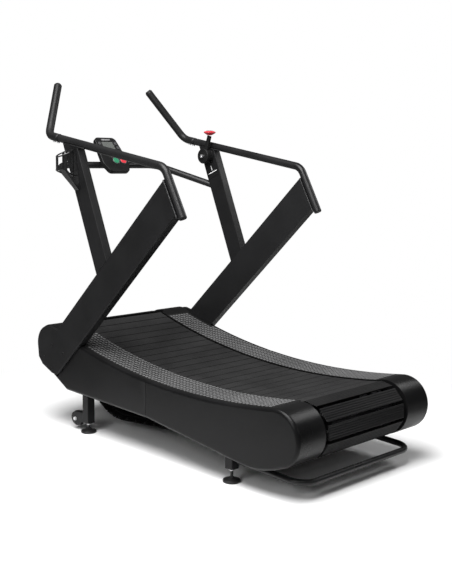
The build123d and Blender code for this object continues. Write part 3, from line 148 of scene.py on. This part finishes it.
def finish(name, base, rough=0.45, metal=0.0, coat=0.0, var=0.18, cloud=7.0, grain=900.0,
           bump=0.12, wear=0.35, wear_gain=2.2, dust=0.10, spec=0.5, stripes=None, slats=False):
    """Painted, moulded or metal finish.

    var and cloud are the strength and scale of the colour drift, grain the scale of the fine
    noise, wear and wear_gain the amount and brightness of worn edges, dust the cover on
    upward faces, stripes the noise scale per axis for brushed or ribbed surfaces. slats paints
    shade into the margins between slats.
    """
    material = bpy.data.materials.new(name)
    material.use_nodes = True
    material.node_tree.nodes.clear()
    graph = Graph(material.node_tree)
    coords = graph.add("TexCoord").outputs["Object"]
    drift = graph.noise(coords, cloud, detail=5)
    fine = graph.noise(coords, grain, detail=3)

    ramp = graph.add("ValToRGB", {"Fac": drift})
    dark, light = ramp.color_ramp.elements
    dark.position, dark.color = 0.35, shade(base, 1 - var)
    light.position, light.color = 0.68, shade(base, 1 + var, lift=0.0006)

    # light specks of the surface grain, at a quarter strength
    specks = graph.math("MULTIPLY", graph.remap(fine, source=(0.4, 0.7)), 0.25)
    colour = graph.mix(specks, ramp.outputs["Color"], shade(base, 1.8, lift=0.002))
    if slats:
        # painted shade: the slat margins are darkened to stand in for the shadowed gaps between
        # slats
        painted_gap_shade = (0.0008, 0.0008, 0.0008, 1)
        colour = graph.mix(slat_gaps(graph, coords), colour, painted_gap_shade)

    # worn, lighter edges
    geometry = graph.add("NewGeometry").outputs
    edges = graph.remap(geometry["Pointiness"], source=(0.515, 0.60), target=(0, wear))
    colour = graph.mix(edges, colour, shade(base, wear_gain, lift=0.008))

    # patchy dust where the surface faces up
    normal_z = graph.add("SeparateXYZ", {0: geometry["Normal"]}).outputs["Z"]
    upward = graph.remap(normal_z, source=(0.55, 1.0), target=(0, dust))
    dust_colour = (0.35, 0.34, 0.33, 1)
    colour = graph.mix(graph.math("MULTIPLY", upward, drift), colour, dust_colour)

    roughness = graph.remap(drift, source=(0.3, 0.7), target=(rough - 0.06, rough + 0.08))
    height = fine
    if stripes:
        stretched = graph.add("Mapping", {"Vector": coords, "Scale": stripes}).outputs[0]
        height = graph.math("ADD", graph.noise(stretched, 60, detail=4), fine)
    relief = graph.add("Bump", {"Strength": bump, "Distance": 0.0008, "Height": height})

    surface = graph.add("BsdfPrincipled", {
        "Base Color": colour,
        "Roughness": roughness,
        "Metallic": metal,
        "Coat Weight": coat,
        "Coat Roughness": 0.25,
        "Specular IOR Level": spec,
        "Normal": relief.outputs[0],
    })
    graph.add("OutputMaterial", {"Surface": surface.outputs[0]})
    material.diffuse_color = (*base, 1)
    return material


SLAT_RIBS = (1.0, 14.0, 14.0)
FINISHES = {
    "black_paint": dict(base=(0.0078, 0.0078, 0.0081), rough=0.38, grain=1400, bump=0.08,
                        spec=0.12, dust=0.02),
    "rail_black": dict(base=(0.0070, 0.0070, 0.0073), rough=0.33, grain=1200, bump=0.05,
                       spec=0.22, dust=0.01),
    "cover_plastic": dict(base=(0.0042, 0.0042, 0.0044), rough=0.33, grain=1900, bump=0.08,
                          spec=0.13, dust=0.015, cloud=4),
    "black_plastic": dict(base=(0.0060, 0.0060, 0.0062), rough=0.38, grain=1600, spec=0.15,
                          dust=0.015, wear=0.2),
    "gloss_black": dict(base=(0.0050, 0.0050, 0.0052), rough=0.16, bump=0.03, coat=0.45,
                        spec=0.3, dust=0.01),
    # slat_rubber and slat_deck_lit are one rubber: the walking run on top is painted lighter
    # (painted light), the runs round the rollers and underneath darker (painted shade)
    "slat_rubber": dict(base=(0.0048, 0.0048, 0.0050), rough=0.52, grain=1500, bump=0.25,
                        spec=0.09, dust=0.02, stripes=SLAT_RIBS, wear=0.2),
    "slat_deck_lit": dict(base=(0.0115, 0.0115, 0.0118), rough=0.46, grain=1500, bump=0.25,
                      spec=0.16, dust=0.03, stripes=SLAT_RIBS, wear=0.2, slats=True),
    "belt_web": dict(base=(0.006, 0.006, 0.0062), rough=0.6, grain=1300, bump=0.25, spec=0.1),
    "pad_rubber": dict(base=(0.0060, 0.0060, 0.0062), rough=0.50, grain=1700, bump=0.30,
                       spec=0.1, dust=0.04, wear=0.2),
    "pad_dot": dict(base=(0.088, 0.088, 0.089), rough=0.42, grain=1700, bump=0.2, spec=0.3,
                    dust=0.06),
    "foot_rubber": dict(base=(0.0055, 0.0055, 0.0057), rough=0.36, grain=1200, bump=0.2,
                        spec=0.3, dust=0.02),
    "zinc": dict(base=(0.62, 0.62, 0.63), rough=0.42, metal=1.0, grain=700, bump=0.06,
                 stripes=(8, 8, 1), wear=0.2, wear_gain=1.3),
    "steel_dark": dict(base=(0.06, 0.06, 0.063), rough=0.36, metal=0.9, grain=700, bump=0.10,
                       stripes=(6, 1, 6), wear=0.3),
    "aluminium": dict(base=(0.50, 0.50, 0.52), rough=0.26, metal=1.0, grain=600, bump=0.08,
                      stripes=(1, 9, 9), wear=0.2, wear_gain=1.2),
    "handle_silver": dict(base=(0.0072, 0.0072, 0.0075), rough=0.30, grain=1200, bump=0.06,
                          spec=0.22, dust=0.012, wear=0.1),
    "grip_foam": dict(base=(0.0062, 0.0062, 0.0064), rough=0.42, grain=1500, bump=0.2,
                      spec=0.22, dust=0.015, wear=0.1),
    "green": dict(base=(0.022, 0.155, 0.080), rough=0.30, bump=0.05, coat=0.3, spec=0.3,
                  var=0.1, dust=0.02),
    "red": dict(base=(0.46, 0.030, 0.042), rough=0.34, bump=0.05, coat=0.15, spec=0.3,
                var=0.1, dust=0.03),
    "key_grey": dict(base=(0.045, 0.045, 0.047), rough=0.4, grain=1500, bump=0.1, spec=0.2,
                     var=0.1, dust=0.02),
    "scale_white": dict(base=(0.0075, 0.0075, 0.0078), rough=0.4, grain=1500, bump=0.08,
                        spec=0.12, var=0.1, dust=0.02),
    "mark_white": dict(base=(0.72, 0.72, 0.72), grain=1500, bump=0.05, var=0.06, wear=0.0),
    "weld": dict(base=(0.012, 0.012, 0.0123), rough=0.34, grain=500, bump=0.4, spec=0.3,
                 dust=0.02, wear=0.5),
    "lcd": dict(base=(0.075, 0.079, 0.075), rough=0.20, grain=2200, bump=0.02, coat=0.2,
                spec=0.2, var=0.08, wear=0.0, dust=0.01),
    "strip_grey": dict(base=(0.14, 0.14, 0.142), rough=0.38, grain=1500, bump=0.06, spec=0.2,
                       var=0.1, dust=0.02),
}
MATERIALS = {name: finish(name, **settings) for name, settings in FINISHES.items()}


# ------------------------------------------------------------------ CAD pieces
BEVEL_WIDTH = {"slat_rubber": 0.7, "black_paint": 1.2, "cover_plastic": 0.8}  # by slot
DEFAULT_BEVEL = 0.5
NO_BEVEL = {
    "belt_deck", "belt_front", "belt_drop", "belt_sag", "belt_return", "belt_rear",
    "bearing_bolts", "deck_bearings", "console_body", "deck_rails", "handrail_right",
    "handrail_left", "push_handle_right", "push_handle_left", "crossbar", "lift_handle",
    "foot_pad_right", "foot_pad_left",
}


def dress_cad_piece(name, piece, slot):
    """Gives a CAD piece its finish and softened edges."""
    piece.data.materials.clear()
    # the walking run takes the lighter slat copy: painted light
    piece.data.materials.append(MATERIALS["slat_deck_lit" if name == "belt_deck" else slot])
    weld = piece.modifiers.new("weld", "WELD")
    weld.merge_threshold = 1e-6
    if name not in NO_BEVEL:
        bevel = piece.modifiers.new("edge", "BEVEL")
        bevel.width = BEVEL_WIDTH.get(slot, DEFAULT_BEVEL) * MM
        bevel.segments = 2
        bevel.limit_method = "ANGLE"
        bevel.angle_limit = math.radians(50)
        bevel.use_clamp_overlap = True
    normals = piece.modifiers.new("flat_faces", "WEIGHTED_NORMAL")
    normals.keep_sharp = True
    piece.data.shade_smooth()
    piece.data.set_sharp_from_angle(angle=math.radians(38))


slot_of = {part["node"]: part["material_slot"] for part in frame["record"]["subparts"]}
for name, piece in frame["nodes"].items():
    dress_cad_piece(name, piece, slot_of[name])


# ------------------------------------------------------------------ mesh helpers
def add_object(name, mesh):
    data = bpy.data.meshes.new(name)
    mesh.to_mesh(data)
    mesh.free()
    piece = bpy.data.objects.new(name, data)
    scene.collection.objects.link(piece)
    return piece


def add_piece(name, mesh, material, smooth=True, fix_normals=True):
    """Turns a bmesh into an object fixed to the frame."""
    if fix_normals:
        bmesh.ops.recalc_face_normals(mesh, faces=mesh.faces)
    piece = add_object(name, mesh)
    piece.data.materials.append(MATERIALS[material])
    if smooth:
        piece.data.shade_smooth()
    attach(piece, "frame")


def bridge(mesh, loops):
    """Joins each loop of vertices to the next with quads."""
    for lower, upper in zip(loops, loops[1:]):
        count = len(lower)
        for k in range(count):
            after = (k + 1) % count
            mesh.faces.new((lower[k], lower[after], upper[after], upper[k]))


def capped(mesh, loops):
    """Bridges the loops and closes both ends."""
    bridge(mesh, loops)
    mesh.faces.new(loops[-1])
    mesh.faces.new(list(reversed(loops[0])))


def circle(centre, across, up, radius, count):
    turns = [2 * math.pi * k / count for k in range(count)]
    return [centre + (across * math.cos(turn) + up * math.sin(turn)) * radius for turn in turns]


def square_to(axis, hint):
    """Unit vector nearest to hint at right angles to the axis."""
    return (hint - axis * hint.dot(axis)).normalized()


def tube(mesh, points, radius, sides, wobble=0.0, closed=False, seed=1):
    """Sweeps a circle through points, all in metres; wobble varies the radius per ring."""
    generator = random.Random(seed)
    count = len(points)
    rings = []
    across = None
    for i, point in enumerate(points):
        if closed:
            along = (points[(i + 1) % count] - points[i - 1]).normalized()
        else:
            along = (points[min(i + 1, count - 1)] - points[max(i - 1, 0)]).normalized()
        if across is None:
            across = X_AXIS if abs(along.x) < 0.9 else Vector((0, 0, 1))
        across = square_to(along, across)
        ring_radius = radius * (1 + wobble * (generator.random() - 0.5))
        ring = circle(point, across, along.cross(across), ring_radius, sides)
        rings.append([mesh.verts.new(place) for place in ring])
    if closed:
        bridge(mesh, rings + rings[:1])
    else:
        bridge(mesh, rings)
        mesh.faces.new(list(reversed(rings[0])))
        mesh.faces.new(rings[-1])


# ------------------------------------------------------------------ foot pad studs
STUD_COLUMNS = 8
STUD_ROWS = 66
STUD_REAR, STUD_FRONT = -664.0, 612.0
STUD_OVERHANG = 2.0  # the columns reach this far past both margins
PAD_INNER, PAD_OUTER = 146.0, 5.0  # margins, measured in from the pad's outer edge
STUD_CORNER = 1.6
STUD_SECTIONS = ((2.9, -0.3), (3.2, 0.9), (4.0, 1.4))  # (inset from cell edge, height)


def stud_outline(half_width, half_length):
    """Rectangle with cut corners."""
    outline = []
    for x, y in ((1, 1), (-1, 1), (-1, -1), (1, -1)):
        corner = [(x * half_width, y * (half_length - STUD_CORNER)),
                  (x * (half_width - STUD_CORNER), y * half_length)]
        outline += corner if x == y else corner[::-1]
    return outline


def build_pad_studs(side, side_name):
    """Rows of low studs over the foot pad, following its curve."""
    edge = abs(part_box("foot_pad_right")[1].x) / MM
    inner, outer = edge - PAD_INNER, edge - PAD_OUTER
    pitch = (outer - inner + 2 * STUD_OVERHANG) / STUD_COLUMNS
    step = (STUD_FRONT - STUD_REAR) / STUD_ROWS
    mesh = bmesh.new()
    for row in range(STUD_ROWS):
        y = STUD_REAR + step * (row + 0.5)
        reach = y - DECK_CENTRE[0]
        z = DECK_CENTRE[1] - math.sqrt(PAD_TOP_RADIUS ** 2 - reach ** 2)
        rise = reach / (DECK_CENTRE[1] - z)
        along = Vector((0, 1, rise)).normalized()
        normal = Vector((0, -rise, 1)).normalized()
        for column in range(STUD_COLUMNS):
            x = inner - STUD_OVERHANG + pitch * (column + 0.5)
            # the arm stands over the front outer corner of the pad
            if x > 384 and 432 < y < 622:
                continue
            centre = Vector((side * x, y, z)) * MM
            capped(mesh, [
                [mesh.verts.new(centre + X_AXIS * (u * MM) + along * (v * MM)
                                + normal * (height * MM))
                 for u, v in stud_outline(pitch / 2 - inset, step / 2 - inset)]
                for inset, height in STUD_SECTIONS])
    add_piece("pad_dots_" + side_name, mesh, "pad_dot")


for side, side_name in SIDES:
    build_pad_studs(side, side_name)


# ------------------------------------------------------------------ weld beads
BEAD_RIPPLE = 0.0028  # metres between rings
BEAD_DROP = 11.5  # below the tube's centre line
RAIL_HALF_WIDTH = 20.0
# start (y, z), slope, distances to both ends, stand-off from the face, radius, seed
BEADS = (
    (RAIL_END, DROP_SLOPE, 4.0, 172.0, 0.6, 2.6, 5),  # arm against the falling part
    (RAIL_BEND, RAIL_SLOPE, 500.0, 592.0, 0.5, 2.2, 9),  # upright top against the rail
)


def build_weld_beads(side, side_name):
    """Rippled beads along the outer and inner faces of the rail tube."""
    mesh = bmesh.new()
    for origin, angle, near, far, stand_off, radius, seed in BEADS:
        along = Vector((math.cos(angle), math.sin(angle)))
        below = Vector((math.sin(angle), -math.cos(angle)))
        for face in (1, -1):
            x = RAIL_X + face * (RAIL_HALF_WIDTH + stand_off)
            ends = []
            for distance in (near, far):
                y, z = Vector(origin) + along * distance + below * BEAD_DROP
                ends.append(Vector((side * x, y, z)) * MM)
            start, end = ends
            count = int((end - start).length / BEAD_RIPPLE)
            points = [start.lerp(end, i / count) for i in range(count)] + [end]
            tube(mesh, points, radius * MM, sides=8, wobble=0.42, seed=seed)
    add_piece("weld_beads_" + side_name, mesh, "weld", fix_normals=False)


for side, side_name in SIDES:
    build_weld_beads(side, side_name)


# ------------------------------------------------------------------ push handles
SOCKET_Y = 588.0
GRIP_START_Y = 604.0
GRIP_TIP = Vector((274.0, 805.0, 1563.0))
GRIP_END_GAP = 3.0
GRIP_BEND_RADIUS = 58.0
GRIP_RADIUS = 18.0


def build_handle_sockets():
    """Ring where each push handle enters the rail."""
    mesh = bmesh.new()
    z = RAIL_CORNER[1] - (RAIL_CORNER[0] - SOCKET_Y) * math.tan(RAIL_SLOPE)
    axis = Vector((0, math.cos(RAIL_SLOPE), math.sin(RAIL_SLOPE)))
    for side, _ in SIDES:
        centre = Vector((side * RAIL_X, SOCKET_Y, z)) * MM
        ring = circle(centre, X_AXIS, axis.cross(X_AXIS), 15.9 * MM, count=32)
        tube(mesh, ring, 1.1 * MM, sides=8, closed=True)
    add_piece("handle_sockets", mesh, "rail_black")


def grip_path():
    """Right grip's centre line, from the socket round the bend, and its end direction."""
    corner = Vector((RAIL_X, *RAIL_CORNER))
    rearward = Vector((0, -math.cos(RAIL_SLOPE), -math.sin(RAIL_SLOPE)))
    tipward = (GRIP_TIP - corner).normalized()
    half = rearward.angle(tipward) / 2
    cut = GRIP_BEND_RADIUS / math.tan(half)
    start = corner + rearward * ((corner.y - GRIP_START_Y) / math.cos(RAIL_SLOPE))
    middle = corner + (rearward + tipward).normalized() * (GRIP_BEND_RADIUS / math.sin(half))
    bend_start, bend_end = corner + rearward * cut, corner + tipward * cut
    end = GRIP_TIP - tipward * GRIP_END_GAP

    path = [start.lerp(bend_start, k / 4) for k in range(4)]
    spoke_in, spoke_out = bend_start - middle, bend_end - middle
    turn = spoke_in.angle(spoke_out)
    for k in range(15):
        share = k / 14
        blend = spoke_in * math.sin((1 - share) * turn) + spoke_out * math.sin(share * turn)
        path.append(middle + blend / math.sin(turn))
    path += [bend_end.lerp(end, k / 40) for k in range(1, 41)]
    return path, tipward


def build_hand_grips():
    """Sleeves over the push handles with a rolled rim at both ends."""
    path, tipward = grip_path()
    mesh = bmesh.new()
    for side, _ in SIDES:
        def placed(points):
            return [Vector((side * x * MM, y * MM, z * MM)) for x, y, z in points]

        tube(mesh, placed(path), GRIP_RADIUS * MM, sides=36)
        for centre, axis in ((path[0], (path[1] - path[0]).normalized()), (path[-1], tipward)):
            across = square_to(axis, X_AXIS)
            rim = circle(centre, across, axis.cross(across), 16.6, count=36)
            tube(mesh, placed(rim), 1.6 * MM, sides=8, closed=True)
    add_piece("hand_grips", mesh, "grip_foam")


build_handle_sockets()
build_hand_grips()


# ------------------------------------------------------------------ console face
FACE_CENTRE = Vector((0, 745, 1250))
FACE_OUT = Vector((0, -0.783, 0.622)).normalized()
FACE_UP = Vector((0, 0.622, 0.783)).normalized()
# segments of a zero: place in half digit sizes, and whether the segment stands upright
ZERO_SEGMENTS = ((0, 1, False), (1, 0.5, True), (1, -0.5, True),
                 (0, -1, False), (-1, -0.5, True), (-1, 0.5, True))
# height on the face, digit size, digit centres
DIGIT_ROWS = ((63, 1.0, (-20, -9.5, 3.0, 13.5)), (41, 0.7, (-22, -14, -3, 5, 16, 24)))


def face_point(x, y, lift):
    return FACE_CENTRE + X_AXIS * x + FACE_UP * y + FACE_OUT * lift


def face_loop(mesh, x, y, width, height, radius, lift):
    """Rounded rectangle of vertices on the console face, centred on x, y."""
    loop = []
    for quarter, (right, up) in enumerate(((1, 1), (-1, 1), (-1, -1), (1, -1))):
        for i in range(7):
            angle = math.radians(90 * quarter + 15 * i)
            u = right * (width / 2 - radius) + radius * math.cos(angle)
            v = up * (height / 2 - radius) + radius * math.sin(angle)
            loop.append(mesh.verts.new(face_point(x + u, y + v, lift) * MM))
    return loop


def plate(mesh, x, y, width, height, radius, bottom, top):
    """Rounded plate with a small chamfer round its top."""
    capped(mesh, [
        face_loop(mesh, x, y, width, height, radius, bottom),
        face_loop(mesh, x, y, width, height, radius, top - 0.25),
        face_loop(mesh, x, y, width - 0.6, height - 0.6, max(0.2, radius - 0.3), top)])


def build_screen_bezel():
    """Raised frame with sloped sides round the screen."""
    mesh = bmesh.new()
    loops = []
    # share of the frame's width from its outer edge, lift from the face
    for share, lift in ((0.0, 0.15), (0.35, 1.75), (0.65, 1.75), (1.0, -0.25)):
        grow = 4.5 * (1 - share)
        loops.append(face_loop(mesh, x=0, y=52, width=66 + 2 * grow, height=52 + 2 * grow,
                               radius=3 + grow, lift=lift))
    bridge(mesh, loops + loops[:1])
    add_piece("screen_bezel", mesh, "black_plastic")


def build_console_strip():
    mesh = bmesh.new()
    plate(mesh, x=0, y=90, width=52, height=8, radius=2.5, bottom=-0.2, top=0.9)
    add_piece("console_strip", mesh, "strip_grey")


def build_button_rings():
    """Rings round the two push buttons."""
    mesh = bmesh.new()
    for x in (2.0, 46.0):
        ring = circle(face_point(x, -35, 0.4), X_AXIS, FACE_UP, 18.2, count=40)
        tube(mesh, [point * MM for point in ring], 1.5 * MM, sides=8, closed=True)
    add_piece("button_rings", mesh, "key_grey")


def build_display_segments():
    """Two rows of zeros on the screen."""
    mesh = bmesh.new()
    for row_y, size, centres in DIGIT_ROWS:
        for centre_x in centres:
            for x, y, upright in ZERO_SEGMENTS:
                width, height = (0.9, 3.2) if upright else (3.2, 0.9)
                plate(mesh, centre_x + x * 2.2 * size, row_y + y * 4.0 * size,
                      width * size, height * size, radius=0.3, bottom=-0.5, top=-0.2)
    add_piece("display_segments", mesh, "black_plastic", smooth=False)


build_screen_bezel()
build_console_strip()
build_button_rings()
build_display_segments()


# ------------------------------------------------------------------ level marks
MARK_X = 390.1
MARK_THICKNESS = 0.5
MARK_CENTRE = (459, 1184)  # y, z
MARKS = ((-12, 60, 3.4), (9, 3.4, 24))  # offset up the upright's tilt, width, height
BOX_FACES = ((0, 1, 2, 3), (7, 6, 5, 4), (0, 4, 5, 1), (1, 5, 6, 2), (2, 6, 7, 3), (3, 7, 4, 0))


def build_level_marks():
    """Two thin bars forming a T shape beside the lever, tilted with the upright."""
    tilt = math.radians(UPRIGHT_SLOPE - 90)
    mesh = bmesh.new()
    for offset, width, height in MARKS:
        corners = []
        for x in (MARK_X, MARK_X - MARK_THICKNESS):
            for right, up in ((-1, -1), (1, -1), (1, 1), (-1, 1)):
                u, v = right * width / 2, offset + up * height / 2
                y = MARK_CENTRE[0] + u * math.cos(tilt) - v * math.sin(tilt)
                z = MARK_CENTRE[1] + u * math.sin(tilt) + v * math.cos(tilt)
                corners.append(mesh.verts.new(Vector((x, y, z)) * MM))
        for face in BOX_FACES:
            mesh.faces.new([corners[i] for i in face])
    add_piece("level_marks", mesh, "mark_white", smooth=False)


build_level_marks()


# ------------------------------------------------------------------ stage, in metres
def build_floor(half_size=30.0):
    """White floor that fades into an even glow away from the machine."""
    mesh = bmesh.new()
    corners = ((-1, -1), (1, -1), (1, 1), (-1, 1))
    mesh.faces.new([mesh.verts.new((x * half_size, y * half_size, 0.0)) for x, y in corners])
    floor = add_object("floor", mesh)

    material = bpy.data.materials.new("floor")
    material.use_nodes = True
    nodes = material.node_tree.nodes
    graph = Graph(material.node_tree)
    near = nodes["Principled BSDF"]
    graph.wire(near, {"Base Color": (0.94, 0.94, 0.94, 1), "Roughness": 0.55,
                      "Specular IOR Level": 0.2})
    coords = graph.add("TexCoord").outputs["Object"]
    distance = graph.add("VectorMath", {0: coords}, operation="LENGTH").outputs["Value"]
    fade = graph.remap(distance, source=(1.0, 1.75), interpolation_type="SMOOTHSTEP")
    glow = graph.add("Emission", {"Strength": graph.dim_off_camera(0.35)})
    blend = graph.add("MixShader", {0: fade, 1: near.outputs[0], 2: glow.outputs[0]})
    graph.wire(nodes["Material Output"], {"Surface": blend.outputs[0]})
    floor.data.materials.append(material)


def build_world():
    """White to the camera, dim as a light."""
    world = bpy.data.worlds.new("studio")
    scene.world = world
    world.use_nodes = True
    graph = Graph(world.node_tree)
    graph.wire(world.node_tree.nodes["Background"],
               {"Color": (1.0, 1.0, 1.0, 1), "Strength": graph.dim_off_camera(0.08)})


def area_light(name, location, target, size, power):
    light = bpy.data.lights.new(name, "AREA")
    light.energy = power
    light.shape = "RECTANGLE"
    light.size, light.size_y = size
    lamp = bpy.data.objects.new(name, light)
    scene.collection.objects.link(lamp)
    lamp.location = location
    aim = Vector(target) - Vector(location)
    lamp.rotation_euler = aim.to_track_quat("-Z", "Y").to_euler()


def build_camera(location, azimuth, elevation, roll):
    """Camera behind and to the left, level with the handles; angles in degrees."""
    azimuth, elevation, roll = (math.radians(a) for a in (azimuth, elevation, roll))
    back = Vector((math.sin(azimuth) * math.cos(elevation),
                   -math.cos(azimuth) * math.cos(elevation), math.sin(elevation)))
    right = (-back).cross(Vector((0, 0, 1))).normalized()
    up = right.cross(-back)
    rolled_right = right * math.cos(roll) + up * math.sin(roll)
    rolled_up = -right * math.sin(roll) + up * math.cos(roll)
    turn = Matrix((rolled_right, rolled_up, back)).transposed()

    lens = bpy.data.cameras.new("camera")
    lens.sensor_fit = "AUTO"
    lens.sensor_width = 36.0
    lens.lens = 59.542089
    lens.shift_x = 0.00017979452
    lens.shift_y = 0.01213527
    lens.clip_end = 100
    camera = bpy.data.objects.new("camera", lens)
    scene.collection.objects.link(camera)
    camera.matrix_world = Matrix.Translation(location) @ turn.to_4x4()
    scene.camera = camera


build_floor()
build_world()
area_light("top", location=(-1.7, -0.6, 3.8), target=(0, 0.0, 0.2), size=(2.8, 2.8), power=330)
area_light("fill", location=(-3.6, -0.9, 2.0), target=(-0.3, 0.0, 0.5), size=(1.8, 1.4), power=44)
area_light("back", location=(1.2, -4.2, 2.6), target=(0, -0.4, 0.5), size=(2.2, 1.4), power=12)
area_light("right", location=(2.9, -1.2, 3.0), target=(0.2, -0.6, 0.3), size=(1.6, 1.2), power=34)
build_camera(location=(-2.9674, -2.9520, 1.2735), azimuth=-45.4885, elevation=8.6801, roll=0.9357)
